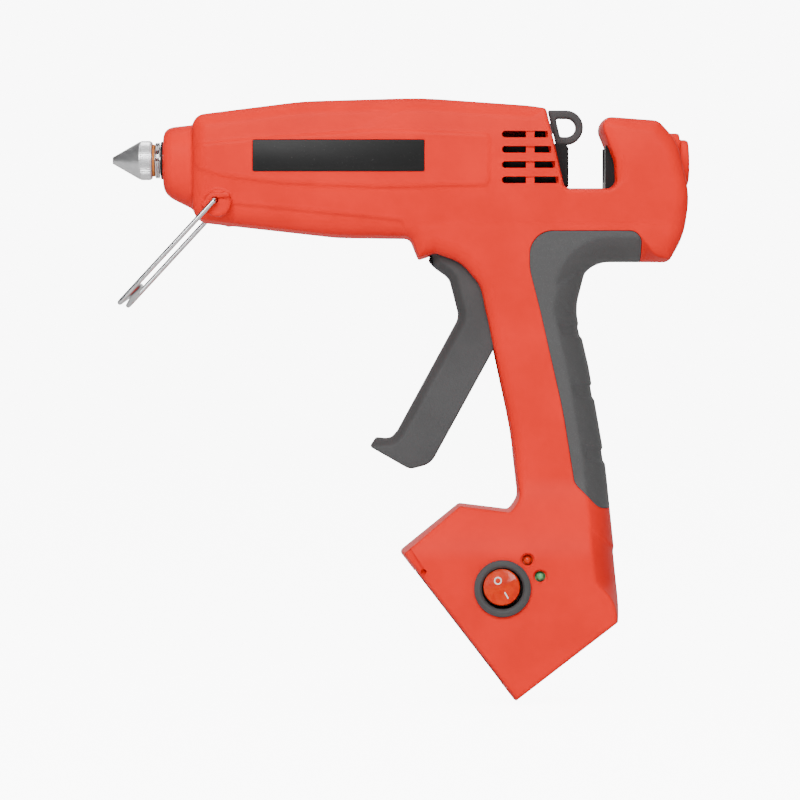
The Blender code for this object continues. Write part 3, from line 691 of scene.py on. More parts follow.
def mirrored(source, name):
    """Replace a working solid by its mirror image across the middle plane."""
    mesh = source.data.copy()
    mesh.transform(Matrix.Scale(-1, 4, (0, 1, 0)))
    mesh.flip_normals()
    discard(source)
    return in_scene(name, mesh)


def bevelled(piece, width, segments=3, angle=40):
    """Round a working solid's edges."""
    change = piece.modifiers.new("bevel", "BEVEL")
    change.width = width * MM
    change.segments = segments
    change.limit_method = "ANGLE"
    change.angle_limit = math.radians(angle)
    change.use_clamp_overlap = True
    return baked(piece)


def piece(solid, name, body, slot, *nodes, sharp=38, material=None):
    """Finish a working solid: name, shading, material, body and the nodes it stands for."""
    solid.name = name
    solid.data.name = name
    solid.data.materials.clear()
    solid.data.materials.append(finish_of(material or slot))
    for polygon in solid.data.polygons:
        polygon.material_index = 0
    solid.data.shade_smooth()
    solid.data.set_sharp_from_angle(angle=math.radians(sharp))
    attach(solid, body)
    if nodes:
        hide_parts(*nodes)
    return solid


def along_x(y=0.0, z=AXIS_Z):
    return Matrix.Translation((0, y * MM, z * MM))


def facing_left(x, z, y=0.0):
    """Takes the X axis to -Y, so that a turned shape faces out of the left side."""
    return Matrix.Translation((x * MM, y * MM, z * MM)) @ Matrix.Rotation(-math.pi / 2, 4, "Z")


# ---------------------------------------------------------------- housing

def battery_point(along, inwards):
    """A point in the foot: mm along the battery face from its front corner, and inwards."""
    direction = (Vector(FOOT_TIP) - Vector(FOOT_FRONT)).normalized()
    inward = Vector((-direction.y, direction.x))
    return Vector(FOOT_FRONT) + direction * along + inward * inwards


def battery_box(name, along, y, inwards):
    """A box lined up with the battery face of the foot."""
    corners = [battery_point(a, i) for a, i in ((along[0], inwards[0]), (along[0], inwards[1]),
                                               (along[1], inwards[1]), (along[1], inwards[0]))]
    return prism(name, [(c.x, c.y, 0) for c in corners], *y)


class HousingForm:
    """The housing's outer surface as a field, negative inside, and its parts."""

    def __init__(self, settings, grip):
        self.settings = settings
        self.grip = grip
        low = Vector((-0.0995, -0.0315, -0.0025))
        high = Vector((0.1205, 0.0022, 0.2485))
        self.samples = Samples(low, high, settings.pitch)
        self.x, self.z = self.samples.x / MM, self.samples.z / MM
        self.zone = self.distance(GRIP_ZONE)
        self.flat = self.silhouette()
        self.half = self.half_width()
        self.outer = self.outer_field()

    def distance(self, corners, closed=True):
        """Distance to an outline over the xz plane, in millimetres."""
        points = [point / MM for point in round_outline(corners, closed=closed)]
        return outline_distance(points, self.x, self.z, closed)

    def silhouette(self):
        trunk, handle, foot = [self.distance(each) for each in (TRUNK, HANDLE, FOOT)]
        body = smooth_min(trunk, handle, 0.5)
        inner_corner = np.exp(-((self.x - 46) ** 2 + (self.z - 80) ** 2) / 60)
        return smooth_min(body, foot, 0.3 + 6 * inner_corner)

    def half_width(self):
        """Half the width at each place, before the edges are rounded."""
        x, z = self.x, self.z
        settings = self.settings
        barrel = settings.barrel_level / MM
        pad = settings.pad_level / MM
        handle = settings.handle_level / MM
        fall = np.clip(np.abs(z - 222) / 22, 0, 1.25) ** 2 * settings.crown / MM
        nose = ease(-x, 58, 88) * 1.2
        body = barrel - fall - nose
        raised = ease(-self.distance(SHOULDER), -0.6, 0.6) * (1 - ease(x, 20, 48)) * 0.35
        wide = ease(x, 20, 60) * 0.5
        body += raised + wide
        sunk = ease(-self.distance(LEDGE), -0.7, 0.7)
        body -= sunk * 1.0
        on_pad = ease(-self.distance(LABEL_PAD), -0.55, 0.55)
        body = body * (1 - on_pad) + (pad - nose) * on_pad
        upper = ease(z, 150, 198)
        lower = ease(-z, -93, -57)
        half = handle + (body - handle) * upper
        return half + (FOOT_HALF - half) * lower

    def edge_radius(self):
        x, z = self.x, self.z
        notch = ease(x, 52, 60) * (1 - ease(x, 88, 96)) * ease(z, 200, 206)
        hump = ease(x, 78, 86) * ease(z, 205, 215)
        foot = ease(-z, -100, -74)
        back = ease(x, 62, 76) * ease(z, 34, 60)
        radius = 7.0 - 1.5 * ease(-z, -190, -160)
        radius = radius * (1 - notch) + notch * (1.4 + 4 * hump)
        return radius * (1 - foot) + foot * (1.6 + 3 * back)

    def roll(self, across):
        """The handle's rounded back, a fuller curve than the edges elsewhere."""
        x, z = self.x, self.z
        spine = np.where(z > 158, 52 + ease(z, 158, 186) * 8, 52 + (160 - z) * 0.18)
        behind = ease(x - spine, -3, 3) * (1 - ease(x, 97, 112))
        reach = ease(z, 32, 50) * (1 - ease(z, 192, 214)) * behind
        depth, crease = 20.0, 9.7
        fullness = math.sqrt(1 - ((depth - crease) / depth) ** 2)
        span = self.half / fullness + (1 - reach) * 40
        inwards = np.clip((depth + self.flat) / depth, 0, None)
        lift = self.samples.lifted
        return (np.hypot(lift(inwards), across / lift(span)) - 1) * depth

    def bands(self):
        """Three shallow bands across the back of the grip."""
        lean = self.z + (self.x - 80) * 0.16
        total = np.zeros_like(lean)
        for low, high in ((147.5, 152.3), (123.3, 128.6), (98.0, 103.2)):
            total += ease(lean, low - 0.4, low + 0.4) * (1 - ease(lean, high - 0.4, high + 0.4))
        back = ease(self.flat, -8.6, -7.6) * ease(self.x, 60, 66)
        return total * back * self.grip.band_depth / MM

    def snout(self, across):
        """The rounded cone in front of the barrel."""
        x, z = self.x, self.z
        t = (x + 85.3) / -11.8
        middle = 218.2 + 2.3 * t
        tall = 17.2 - 3.6 * t
        wide = SNOUT_HALF + 1.5 - 2.2 * t
        lift = self.samples.lifted
        power = 2.5
        inwards = (np.abs(z - middle) / tall) ** power
        around = (lift(inwards) + (across / lift(wide)) ** power) ** (1 / power)
        cone = (around - 1) * 14.5
        front = lift(-97.1 - x)
        return smooth_max(smooth_max(cone, front, 4.5), lift(x + 70), 1.0)

    def collar(self, across):
        """Two stepped rings round the inlet, the outer one domed."""
        lift = self.samples.lifted
        radius = np.hypot(lift(self.z - COLLAR[1]), across)
        x = lift(self.x)
        first = rounded_slab(radius - 12.2, np.abs(x - 104), 9.8, 0.9)
        dome = 118.1 - 0.0085 * radius ** 2
        second = smooth_max(smooth_max(radius - 9.5, x - dome, 1.4), 100 - x, 0.5)
        return np.minimum(first, second)

    def outer_field(self):
        """The whole outer surface, in metres."""
        lift = self.samples.lifted
        across = self.samples.across / MM
        body = rounded_slab(lift(self.flat), across, lift(self.half), lift(self.edge_radius()))
        body = smooth_max(body, self.roll(across), 0.3)
        body = body + lift(self.bands())
        body = smooth_min(body, self.snout(across), 0.8)
        body = smooth_min(body, self.collar(across), 0.8)
        bx, bz = STAND_PIVOT
        disc = rounded_slab(lift(np.hypot(self.x - bx - 0.9, self.z - bz + 1.1) - 5.5),
                            np.abs(across - 22), 3.5, 0.5)
        hook = rounded_slab(lift(self.distance(BOSS_HOOK)), np.abs(across - 22), 5.3, 0.25)
        body = np.minimum(np.minimum(body, disc), hook)
        groove = 0.3 * np.exp(-(across / 0.7) ** 2)
        body = body + groove
        return np.maximum(body * MM, self.samples.y[None, :, None] - 0.0015)

    def solid(self):
        return self.samples.mesh("housing", self.outer)

    def under_grip(self):
        """Everything deeper than the soft grip."""
        return self.samples.mesh("core", self.outer + self.grip.thickness, 2)

    def hollow(self):
        """The space inside the wall, which is deeper behind the grip."""
        wall = self.settings.wall
        extra = (self.grip.thickness + 0.0006) * ease(-self.zone, -3.4, -2.0)
        depth = self.samples.lifted(wall + extra)
        return self.samples.mesh("hollow", self.outer + depth, 2)


def vent_cuts(side):
    """Four slots, each crossed by one sunken upright rib."""
    tools = []
    deep, shallow, out = 19.0, 22.3, 31.0
    for row in range(4):
        high = 231.7 - 6.15 * row
        low = high - 2.7
        rear = 59.3 + 1.45 * row
        spans = [(40.8, 50.5, 1.34, deep), (54.0, rear, 0.25, deep), (50.0, 54.5, 0.0, shallow)]
        for left, right, round_end, inner in spans:
            corners = [(left, low, round_end), (left, high, round_end),
                       (right, high, 0.25 * (inner == deep)), (right, low, 0.25 * (inner == deep))]
            tools.append(prism("vent", corners, *sorted((side * inner, side * out))))
    return tools


def shared_cuts():
    """Holes and doors that both halves share."""
    x, z = STAND_PIVOT
    half = 14.0
    tools = [
        rod("nozzle_hole", (-99, 0, AXIS_Z), (-88, 0, AXIS_Z), 8.0),
        rod("inlet_hole", (98, 0, AXIS_Z), (120, 0, AXIS_Z), 7.6),
        box("carriage_door", (58, 74), (-half, half), (209.6, 227.6)),
        box("guide_door", (82.5, 96), (-14.4, 14.4), (204, 226.4)),
        box("loop_slot", (56, 66), (-2.7, 2.7), (231.5, 236.5)),
        prism("trigger_slot", TRIGGER_SLOT, -TRIGGER_HALF - 0.6, TRIGGER_HALF + 0.6),
        rod("stand_hole", (x, -30, z), (x, 30, z), 1.35, sides=24),
        rod("pin_hole", (TRIGGER_PIVOT[0], -15.8, TRIGGER_PIVOT[1]),
            (TRIGGER_PIVOT[0], 15.8, TRIGGER_PIVOT[1]), 2.3, sides=24),
        battery_box("battery_door", (9.7, 67.3), (-23.3, 23.3), (-5, 8)),
    ]
    for side in (-1, 1):
        tools += vent_cuts(side)
        slot = [(4.0, 63.0, 0.2), (9.8, 54.2, 0.6), (8.4, 53.2, 0.6), (2.7, 62.1, 0.2)]
        tools.append(prism("tip_slot", slot, *sorted((side * 26.4, side * 40))))
        tools.append(rod("tip_hole", (9.1, side * 24.6, 53.5), (9.1, side * 30, 53.5), 1.15,
                         sides=24))
        tools.append(prism("label_recess", [(-60.1, 215.2, 0.5), (-60.1, 228.2, 0.5),
                                            (9.6, 228.2, 0.5), (9.6, 215.2, 0.5)],
                           *sorted((side * 23.5, side * 30))))
    return tools


def left_cuts():
    """The switch and lamp openings."""
    sx, sz = SWITCH
    face = -FOOT_HALF
    tools = [rod("switch_hole", (sx, -40, sz), (sx, -20, sz), 10.2)]
    for lx, lz in LAMPS.values():
        tools.append(rod("lamp_recess", (lx, face - 2, lz), (lx, face + 2.0, lz), 2.95))
        tools.append(rod("lamp_hole", (lx, -40, lz), (lx, -20, lz), 2.2, sides=32))
    return tools


def right_cuts():
    """Counterbores for the screws."""
    tools = []
    for x, z in SCREWS:
        tools.append(rod("screw_head", (x, 8.2, z), (x, 40, z), 3.2, sides=32))
    return tools


class GLUE_OT_housing(bpy.types.Operator):
    """Mould both halves of the housing, with the soft grip laid into them"""

    bl_idname = "glue.housing"
    bl_label = "Housing and grip"

    def execute(self, context):
        settings, grip = context.scene.glue_housing, context.scene.glue_grip
        form = HousingForm(settings, grip)
        outer, hollow, core = form.solid(), form.hollow(), form.under_grip()
        bosses = [rod("boss", (x, -40, z), (x, 8, z), 4.4, sides=24) for x, z in SCREWS]
        x, z = TRIGGER_PIVOT
        bosses.append(rod("boss", (x, -40, z), (x, -TRIGGER_HALF - 1, z), 4.6, sides=24))
        cut(hollow, union(*bosses))
        zone = prism("zone", GRIP_ZONE, -60, 60, math.radians(3))
        seat = cut(copy_of(zone), copy_of(core))
        pad = combine(copy_of(outer), copy_of(zone), "INTERSECT")
        pad = shrunk_zone(cut(pad, core), grip.groove)
        shell = cut(outer, seat, hollow)
        cut(shell, union(*shared_cuts()))
        for label, cuts in (("left", left_cuts()), ("right", right_cuts())):
            trimmed, soft = [left_half(each, settings.seam) for each in (shell, pad)]
            if label == "right":
                trimmed, soft = [mirrored(each, label) for each in (trimmed, soft)]
                cut(soft, union(*right_cuts()))
            cut(trimmed, union(*cuts))
            piece(trimmed, "housing_shell_" + label, "housing", "red_plastic", "housing_" + label)
            piece(soft, "grip_pad_" + label, "housing", "grip_rubber", "grip_" + label)
        discard(shell, pad, zone)
        return {"FINISHED"}


def left_half(solid, seam):
    """A copy of what lies left of the seam between the halves."""
    room = box("side", (-150, 150), (-60, -seam / 2 / MM), (-20, 270))
    return combine(copy_of(solid), room, "INTERSECT")


def shrunk_zone(pad, groove):
    """Trim the grip by the width of the groove round it."""
    middle_x, middle_z = 74, 135
    corners = [(x - math.copysign(groove / MM, x - middle_x),
                z - math.copysign(groove / MM, z - middle_z), radius)
               for x, z, radius in GRIP_ZONE]
    return combine(pad, prism("zone", corners, -60, 60, math.radians(3)), "INTERSECT")


class GLUE_OT_labels(bpy.types.Operator):
    """Lay a blank film in the panel on each side of the barrel"""

    bl_idname = "glue.labels"
    bl_label = "Label panels"

    def execute(self, context):
        for label in ("left", "right"):
            low, high = [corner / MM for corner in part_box("label_" + label)]
            corners = [(x, z, 0.4) for x, z in ((low.x, low.z), (low.x, high.z),
                                               (high.x, high.z), (high.x, low.z))]
            panel = bevelled(prism("panel", corners, low.y, high.y), 0.08, 2)
            piece(panel, "label_film_" + label, "housing", "label_plate", "label_" + label)
        return {"FINISHED"}


# ---------------------------------------------------------------- trigger, loop and stand

class GLUE_OT_trigger(bpy.types.Operator):
    """Mould the trigger with its rounded front band, hub and arm"""

    bl_idname = "glue.trigger"
    bl_label = "Trigger"

    def execute(self, context):
        settings = context.scene.glue_trigger
        low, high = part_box("trigger")
        margin = Vector((0.002, 0.002, 0.002))
        samples = Samples(low - margin, Vector((high.x, high.y, 0.191)) + margin, 0.0005)
        x, z = samples.x / MM, samples.z / MM
        flat = outline_distance([p / MM for p in round_outline(TRIGGER)], x, z)
        front = round_outline(TRIGGER_FRONT, closed=False)
        inwards = outline_distance([p / MM for p in front], x, z, closed=False)
        across = samples.across / MM
        lift = samples.lifted
        body = rounded_slab(lift(flat), across, TRIGGER_HALF, 0.6)
        depth = 2.0 * settings.band / MM
        fullness = math.sqrt(1 - 0.5 ** 2)
        reach = np.clip((depth - inwards) / depth, 0, None)
        roll = (np.hypot(lift(reach), across * fullness / TRIGGER_HALF) - 1) * depth
        body = smooth_max(body, roll, 0.15)
        shell = samples.mesh("trigger", body * MM)
        inner = TRIGGER_HALF - 3.0
        cut(shell, prism("hollow", TRIGGER_HOLLOW, -inner, inner))
        px, pz = TRIGGER_PIVOT
        ax, az = LINK_PIN
        lean = Vector((ax - px, az - pz)).normalized()
        side = Vector((lean.y, -lean.x)) * 3.2
        ends = [Vector((px, pz)), Vector((ax, az))]
        corners = [(*(ends[0] - side), 0), (*(ends[1] - side), 0),
                   (*(ends[1] + side), 0), (*(ends[0] + side), 0)]
        arm = prism("arm", corners, -3, 3)
        tip = rod("tip", (ax, -3, az), (ax, 3, az), 3.2)
        hub = rod("hub", (px, -TRIGGER_HALF, pz), (px, TRIGGER_HALF, pz), 4.6)
        union(shell, hub, arm, tip)
        cut(shell, rod("hole", (px, -20, pz), (px, 20, pz), 2.3, sides=32),
            rod("hole", (ax, -20, az), (ax, 20, az), 1.9, sides=24))
        piece(shell, "trigger_lever", "trigger", "grey_plastic", "trigger")
        pin = bevelled(rod("pin", (px, -15.5, pz), (px, 15.5, pz), 2.0, sides=48), 0.3)
        piece(pin, "hinge_pin", "housing", "steel", "trigger_pin")
        return {"FINISHED"}


class GLUE_OT_loop(bpy.types.Operator):
    """Mould the D-shaped hanging loop with its tang"""

    bl_idname = "glue.loop"
    bl_label = "Hanging loop"

    def execute(self, context):
        samples = Samples((0.0585, -0.0045, 0.2255), (0.0765, 0.0045, 0.2435), 0.00022)
        x, z = samples.x / MM, samples.z / MM
        ring, eye = [outline_distance([p / MM for p in round_outline(each)], x, z)
                     for each in (LOOP, LOOP_EYE)]
        lift = samples.lifted
        across = samples.across / MM
        body = rounded_slab(lift(smooth_max(ring, -eye, 0.3)), across, 2.6, 1.1)
        loop = samples.mesh("loop", body * MM)
        tang = bevelled(box("tang", (56.6, 62.6), (-2.2, 2.2), (232.0, 236.0)), 0.4)
        hook = bevelled(box("hook", (54.6, 56.9), (-4.5, 4.5), (230.5, 237.5)), 0.4)
        union(loop, tang, hook)
        piece(loop, "hanging_ring", "housing", "grey_plastic", "hang_loop")
        return {"FINISHED"}


def bend(before, corner, after, radius, steps=10):
    """Points of a round bend of a wire at a corner."""
    back = (before - corner).normalized() * radius
    forward = (after - corner).normalized() * radius
    return [corner + back * (1 - k / steps) ** 2 + forward * (k / steps) ** 2
            for k in range(steps + 1)]


def wire(name, points, radius, sides=6):
    """A round wire with closed ends along points in millimetres."""
    curve = bpy.data.curves.new(name, "CURVE")
    curve.dimensions = "3D"
    curve.bevel_depth = radius
    curve.bevel_resolution = sides
    curve.use_fill_caps = True
    spline = curve.splines.new("POLY")
    spline.points.add(len(points) - 1)
    for place, point in zip(spline.points, points):
        place.co = (*(Vector(point) * MM), 1)
    made = baked(in_scene(name, curve))
    shape = bmesh.new()
    shape.from_mesh(made.data)
    discard(made)
    return solid_from(name, shape)


class GLUE_OT_stand(bpy.types.Operator):
    """Bend the wire stand: two legs, two feet and an arched cross piece"""

    bl_idname = "glue.stand"
    bl_label = "Wire stand"

    def execute(self, context):
        px, pz = STAND_PIVOT
        leg = Vector((-38.6, 0, -41.8))
        down = leg.normalized()
        pivot = Vector((px, -STAND_HALF, pz))
        foot = pivot + leg
        shoulder = foot + Vector((0, 14, 0)) - down * 4
        apex = Vector((foot.x, 0, foot.z)) - down * 13
        corners = [Vector((px, -20.5, pz)), pivot, foot, shoulder, apex]
        corners += [Vector((c.x, -c.y, c.z)) for c in reversed(corners[:4])]
        radii = {1: 1.2, 2: 2.5, 3: 2, 4: 9, 5: 2, 6: 2.5, 7: 1.2}
        points = [corners[0]]
        for index, radius in radii.items():
            points += bend(corners[index - 1], corners[index], corners[index + 1], radius)
        points.append(corners[-1])
        made = wire("stand", points, context.scene.glue_wire.stand / 2)
        piece(made, "folding_stand", "stand", "chrome", "wire_stand")
        return {"FINISHED"}


# ---------------------------------------------------------------- geometry-node trees

def node_group(name, sockets):
    """A new geometry-node group with the named inputs, and its graph and ends."""
    tree = bpy.data.node_groups.new(name, "GeometryNodeTree")
    tree.interface.new_socket("Geometry", in_out="INPUT", socket_type="NodeSocketGeometry")
    tree.interface.new_socket("Geometry", in_out="OUTPUT", socket_type="NodeSocketGeometry")
    for label, kind in sockets:
        tree.interface.new_socket(label, in_out="INPUT", socket_type="NodeSocket" + kind)
    graph = Graph(tree)
    return graph, graph.node("NodeGroupInput").outputs, graph.node("NodeGroupOutput").inputs


def finish_group(graph, geometry, material, end):
    """End a group in Realize Instances and Set Material."""
    real = graph.node("GeometryNodeRealizeInstances", None, {0: geometry})
    made = graph.node("GeometryNodeSetMaterial", None, {"Geometry": real.outputs[0],
                                                        "Material": material})
    graph.tree.links.new(made.outputs[0], end["Geometry"])


def grown(source, tree, values, name):
    """Run a geometry-node group on an object with the given inputs and keep a plain mesh."""
    change = source.modifiers.new("grow", "NODES")
    change.node_group = tree
    for item in tree.interface.items_tree:
        if item.in_out == "INPUT" and item.name in values:
            change[item.identifier] = values[item.name]
    source.name = name
    return baked(source)


def ring_tree():
    """Copies of an object turned evenly round the X axis, joined to what they are put on."""
    graph, given, end = node_group("Ring of copies", [
        ("Copy", "Object"), ("Count", "Int"), ("Material", "Material")])
    info = graph.node("GeometryNodeObjectInfo", None, {"Object": given["Copy"]})
    points = graph.node("GeometryNodePoints", None, {"Count": given["Count"]})
    index = graph.node("GeometryNodeInputIndex")
    share = graph.node("ShaderNodeMath", {"operation": "DIVIDE"},
                       {0: index.outputs[0], 1: given["Count"]})
    turn = graph.node("ShaderNodeMath", {"operation": "MULTIPLY"},
                      {0: share.outputs[0], 1: 2 * math.pi})
    spin = graph.node("ShaderNodeCombineXYZ", None, {"X": turn.outputs[0]})
    copies = graph.node("GeometryNodeInstanceOnPoints", None, {
        "Points": points.outputs[0], "Instance": info.outputs["Geometry"]})
    turned_copies = graph.node("GeometryNodeRotateInstances", None, {
        "Instances": copies.outputs[0], "Rotation": spin.outputs[0]})
    both = graph.node("GeometryNodeJoinGeometry")
    graph.tree.links.new(given["Geometry"], both.inputs[0])
    graph.tree.links.new(turned_copies.outputs[0], both.inputs[0])
    finish_group(graph, both.outputs[0], given["Material"], end)
    return graph.tree


def spring_tree():
    """A coil spring along X between two ends, closed at both."""
    graph, given, end = node_group("Coil spring", [
        ("Turns", "Float"), ("Radius", "Float"), ("Length", "Float"), ("Wire", "Float"),
        ("Material", "Material")])
    spiral = graph.node("GeometryNodeCurveSpiral", None, {
        "Resolution": 24, "Rotations": given["Turns"], "Start Radius": given["Radius"],
        "End Radius": given["Radius"], "Height": given["Length"]})
    profile = graph.node("GeometryNodeCurvePrimitiveCircle", None, {
        "Resolution": 10, "Radius": given["Wire"]})
    coil = graph.node("GeometryNodeCurveToMesh", None, {
        "Curve": spiral.outputs[0], "Profile Curve": profile.outputs[0], "Fill Caps": True})
    laid = graph.node("GeometryNodeTransform", None, {
        "Geometry": coil.outputs[0], "Rotation": (0, math.pi / 2, 0)})
    finish_group(graph, laid.outputs[0], given["Material"], end)
    return graph.tree


def screws_tree():
    """A copy of one screw at every point, each turned about Y by its own amount."""
    graph, given, end = node_group("Screws", [
        ("Screw", "Object"), ("Seed", "Int"), ("Material", "Material")])
    info = graph.node("GeometryNodeObjectInfo", None, {"Object": given["Screw"]})
    angle = graph.node("FunctionNodeRandomValue", {"data_type": "FLOAT"}, {"Seed": given["Seed"]})
    angle.inputs[3].default_value = 2 * math.pi
    spin = graph.node("ShaderNodeCombineXYZ", None, {"Y": angle.outputs[1]})
    copies = graph.node("GeometryNodeInstanceOnPoints", None, {
        "Points": given["Geometry"], "Instance": info.outputs["Geometry"],
        "Rotation": spin.outputs[0]})
    finish_group(graph, copies.outputs[0], given["Material"], end)
    return graph.tree


class GLUE_OT_screws(bpy.types.Operator):
    """Drive the housing screws, one copy at each boss"""

    bl_idname = "glue.screws"
    bl_label = "Housing screws"

    def execute(self, context):
        settings = context.scene.glue_screws
        low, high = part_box("housing_screw_1")
        head = settings.head / MM
        top, seat, tip = high.y / MM, high.y / MM - 2.0, low.y / MM
        profile = round_profile([(tip, 0, 0), (tip + 1, 1.2, 0), (seat, 1.5, 0), (seat, head, 0.2),
                                 (top - 0.4, head, 0.8), (top, 0, 0)])
        screw = turned("screw", profile, Matrix.Rotation(math.pi / 2, 4, "Z"), 32)
        arm, depth = 1.7, 1.2
        for wide, tall in ((arm, 0.35), (0.35, arm)):
            cut(screw, box("cross", (-wide, wide), (top - depth, top + 1), (-tall, tall)))
        mesh = bpy.data.meshes.new("places")
        mesh.from_pydata([(x * MM, 0, z * MM) for x, z in SCREWS], [], [])
        screws = grown(in_scene("places", mesh), screws_tree(), {
            "Screw": screw, "Seed": settings.seed, "Material": finish_of("steel")}, "screws")
        discard(screw)
        nodes = [f"housing_screw_{number}" for number in range(1, len(SCREWS) + 1)]
        piece(screws, "housing_screws", "housing", "steel", *nodes)
        return {"FINISHED"}


class GLUE_OT_head(bpy.types.Operator):
    """Turn the nozzle with its knurl, and the rings behind it"""

    bl_idname = "glue.head"
    bl_label = "Nozzle and rings"

    def execute(self, context):
        settings = context.scene.glue_head
        tooth = settings.tooth / MM
        band = 8.0 - tooth * 0.8
        nozzle = turned("nozzle", round_profile([
            (-118.0, 0.85, 0.1), (-118.0, 1.35, 0.12), (-107.3, 7.5, 0.8), (-106.9, band, 0.2),
            (-102.0, band, 0.2), (-101.7, 7.3, 0.1), (-101.7, 5.2, 0), (-108.6, 5.2, 0),
            (-112.0, 0.85, 0.2)]), Matrix.Identity(4), 132)
        ridge = turned_tooth(tooth, band, 2 * math.pi / settings.teeth)
        knurled = grown(nozzle, ring_tree(), {
            "Copy": ridge, "Count": settings.teeth, "Material": finish_of("aluminium")}, "nozzle")
        discard(ridge)
        knurled.data.transform(along_x())
        piece(knurled, "nozzle_tip", "housing", "aluminium", "nozzle", sharp=30)
        washer = turned("washer", round_profile([(-101.55, 5.2, 0), (-101.55, 6.6, 0.15),
                                                 (-100.75, 6.6, 0.15), (-100.75, 5.2, 0)]),
                        along_x())
        piece(washer, "seal_washer", "housing", "orange_seal", "nozzle_washer")
        ring = turned("ring", round_profile([
            (-100.5, 5.2, 0), (-100.5, 7.35, 0.7), (-99.55, 7.35, 0.3), (-99.55, 6.9, 0.1),
            (-99.4, 6.9, 0.1), (-99.4, 7.35, 0.3), (-98.7, 7.35, 0.3), (-98.7, 5.2, 0)]),
            along_x())
        piece(ring, "front_ring", "housing", "chrome", "chamber_ring")
        insulator = turned("ring", round_profile([
            (-98.2, 5.4, 0), (-98.2, 7.7, 0.35), (-92.0, 7.7, 0), (-92.0, 5.4, 0)]), along_x())
        piece(insulator, "insulator_ring", "housing", "black_plastic", "front_insulator_ring")
        bush = turned("bush", round_profile([
            (103, 6.2, 0), (103, 7.3, 0.3), (117.4, 7.3, 0.4), (117.4, 6.2, 0.4)]), along_x())
        piece(bush, "inlet_ring", "housing", "black_plastic", "inlet_bush")
        return {"FINISHED"}


def turned_tooth(height, radius, pitch):
    """One ridge of the knurl on the nozzle's band, at the top of the axis."""
    half = radius * math.tan(pitch / 2) * 0.92
    base, crest = radius - 0.1, radius + height * 0.8
    chamfer = 0.45
    shape = bmesh.new()
    rows = []
    for x, lift in ((-106.6, 0.0), (-106.6 + chamfer, 1.0), (-102.2 - chamfer, 1.0), (-102.2, 0.0)):
        tip = base + 0.06 + (crest - base - 0.06) * lift
        rows.append([shape.verts.new((x * MM, y * MM, z * MM)) for y, z in
                     ((-half, base), (-half * 0.25, tip), (half * 0.25, tip), (half, base))])
    for near, far in zip(rows, rows[1:]):
        for k in range(4):
            shape.faces.new([near[k], near[(k + 1) % 4], far[(k + 1) % 4], far[k]])
    shape.faces.new(rows[0])
    shape.faces.new(rows[-1])
    return solid_from("ridge", shape)


class GLUE_OT_springs(bpy.types.Operator):
    """Wind a return spring over each guide rod"""

    bl_idname = "glue.springs"
    bl_label = "Return springs"

    def execute(self, context):
        settings = context.scene.glue_wire
        tree = spring_tree()
        for label in ("left", "right"):
            low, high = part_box("return_spring_" + label)
            thick = settings.spring / 2
            middle = (low + high) / 2
            values = {
                "Turns": float(settings.turns), "Radius": (high.z - low.z) / 2 - thick - 0.00005,
                "Length": high.x - low.x - 2 * thick, "Wire": thick,
                "Material": finish_of("steel")}
            start = in_scene("spring", bpy.data.meshes.new("spring"))
            spring = grown(start, tree, values, "spring")
            spring.data.transform(Matrix.Translation((low.x + thick, middle.y, middle.z)))
            piece(spring, "spring_coil_" + label, "housing", "steel", "return_spring_" + label)
            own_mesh(spring)
        return {"FINISHED"}


# ---------------------------------------------------------------- switch and lamps

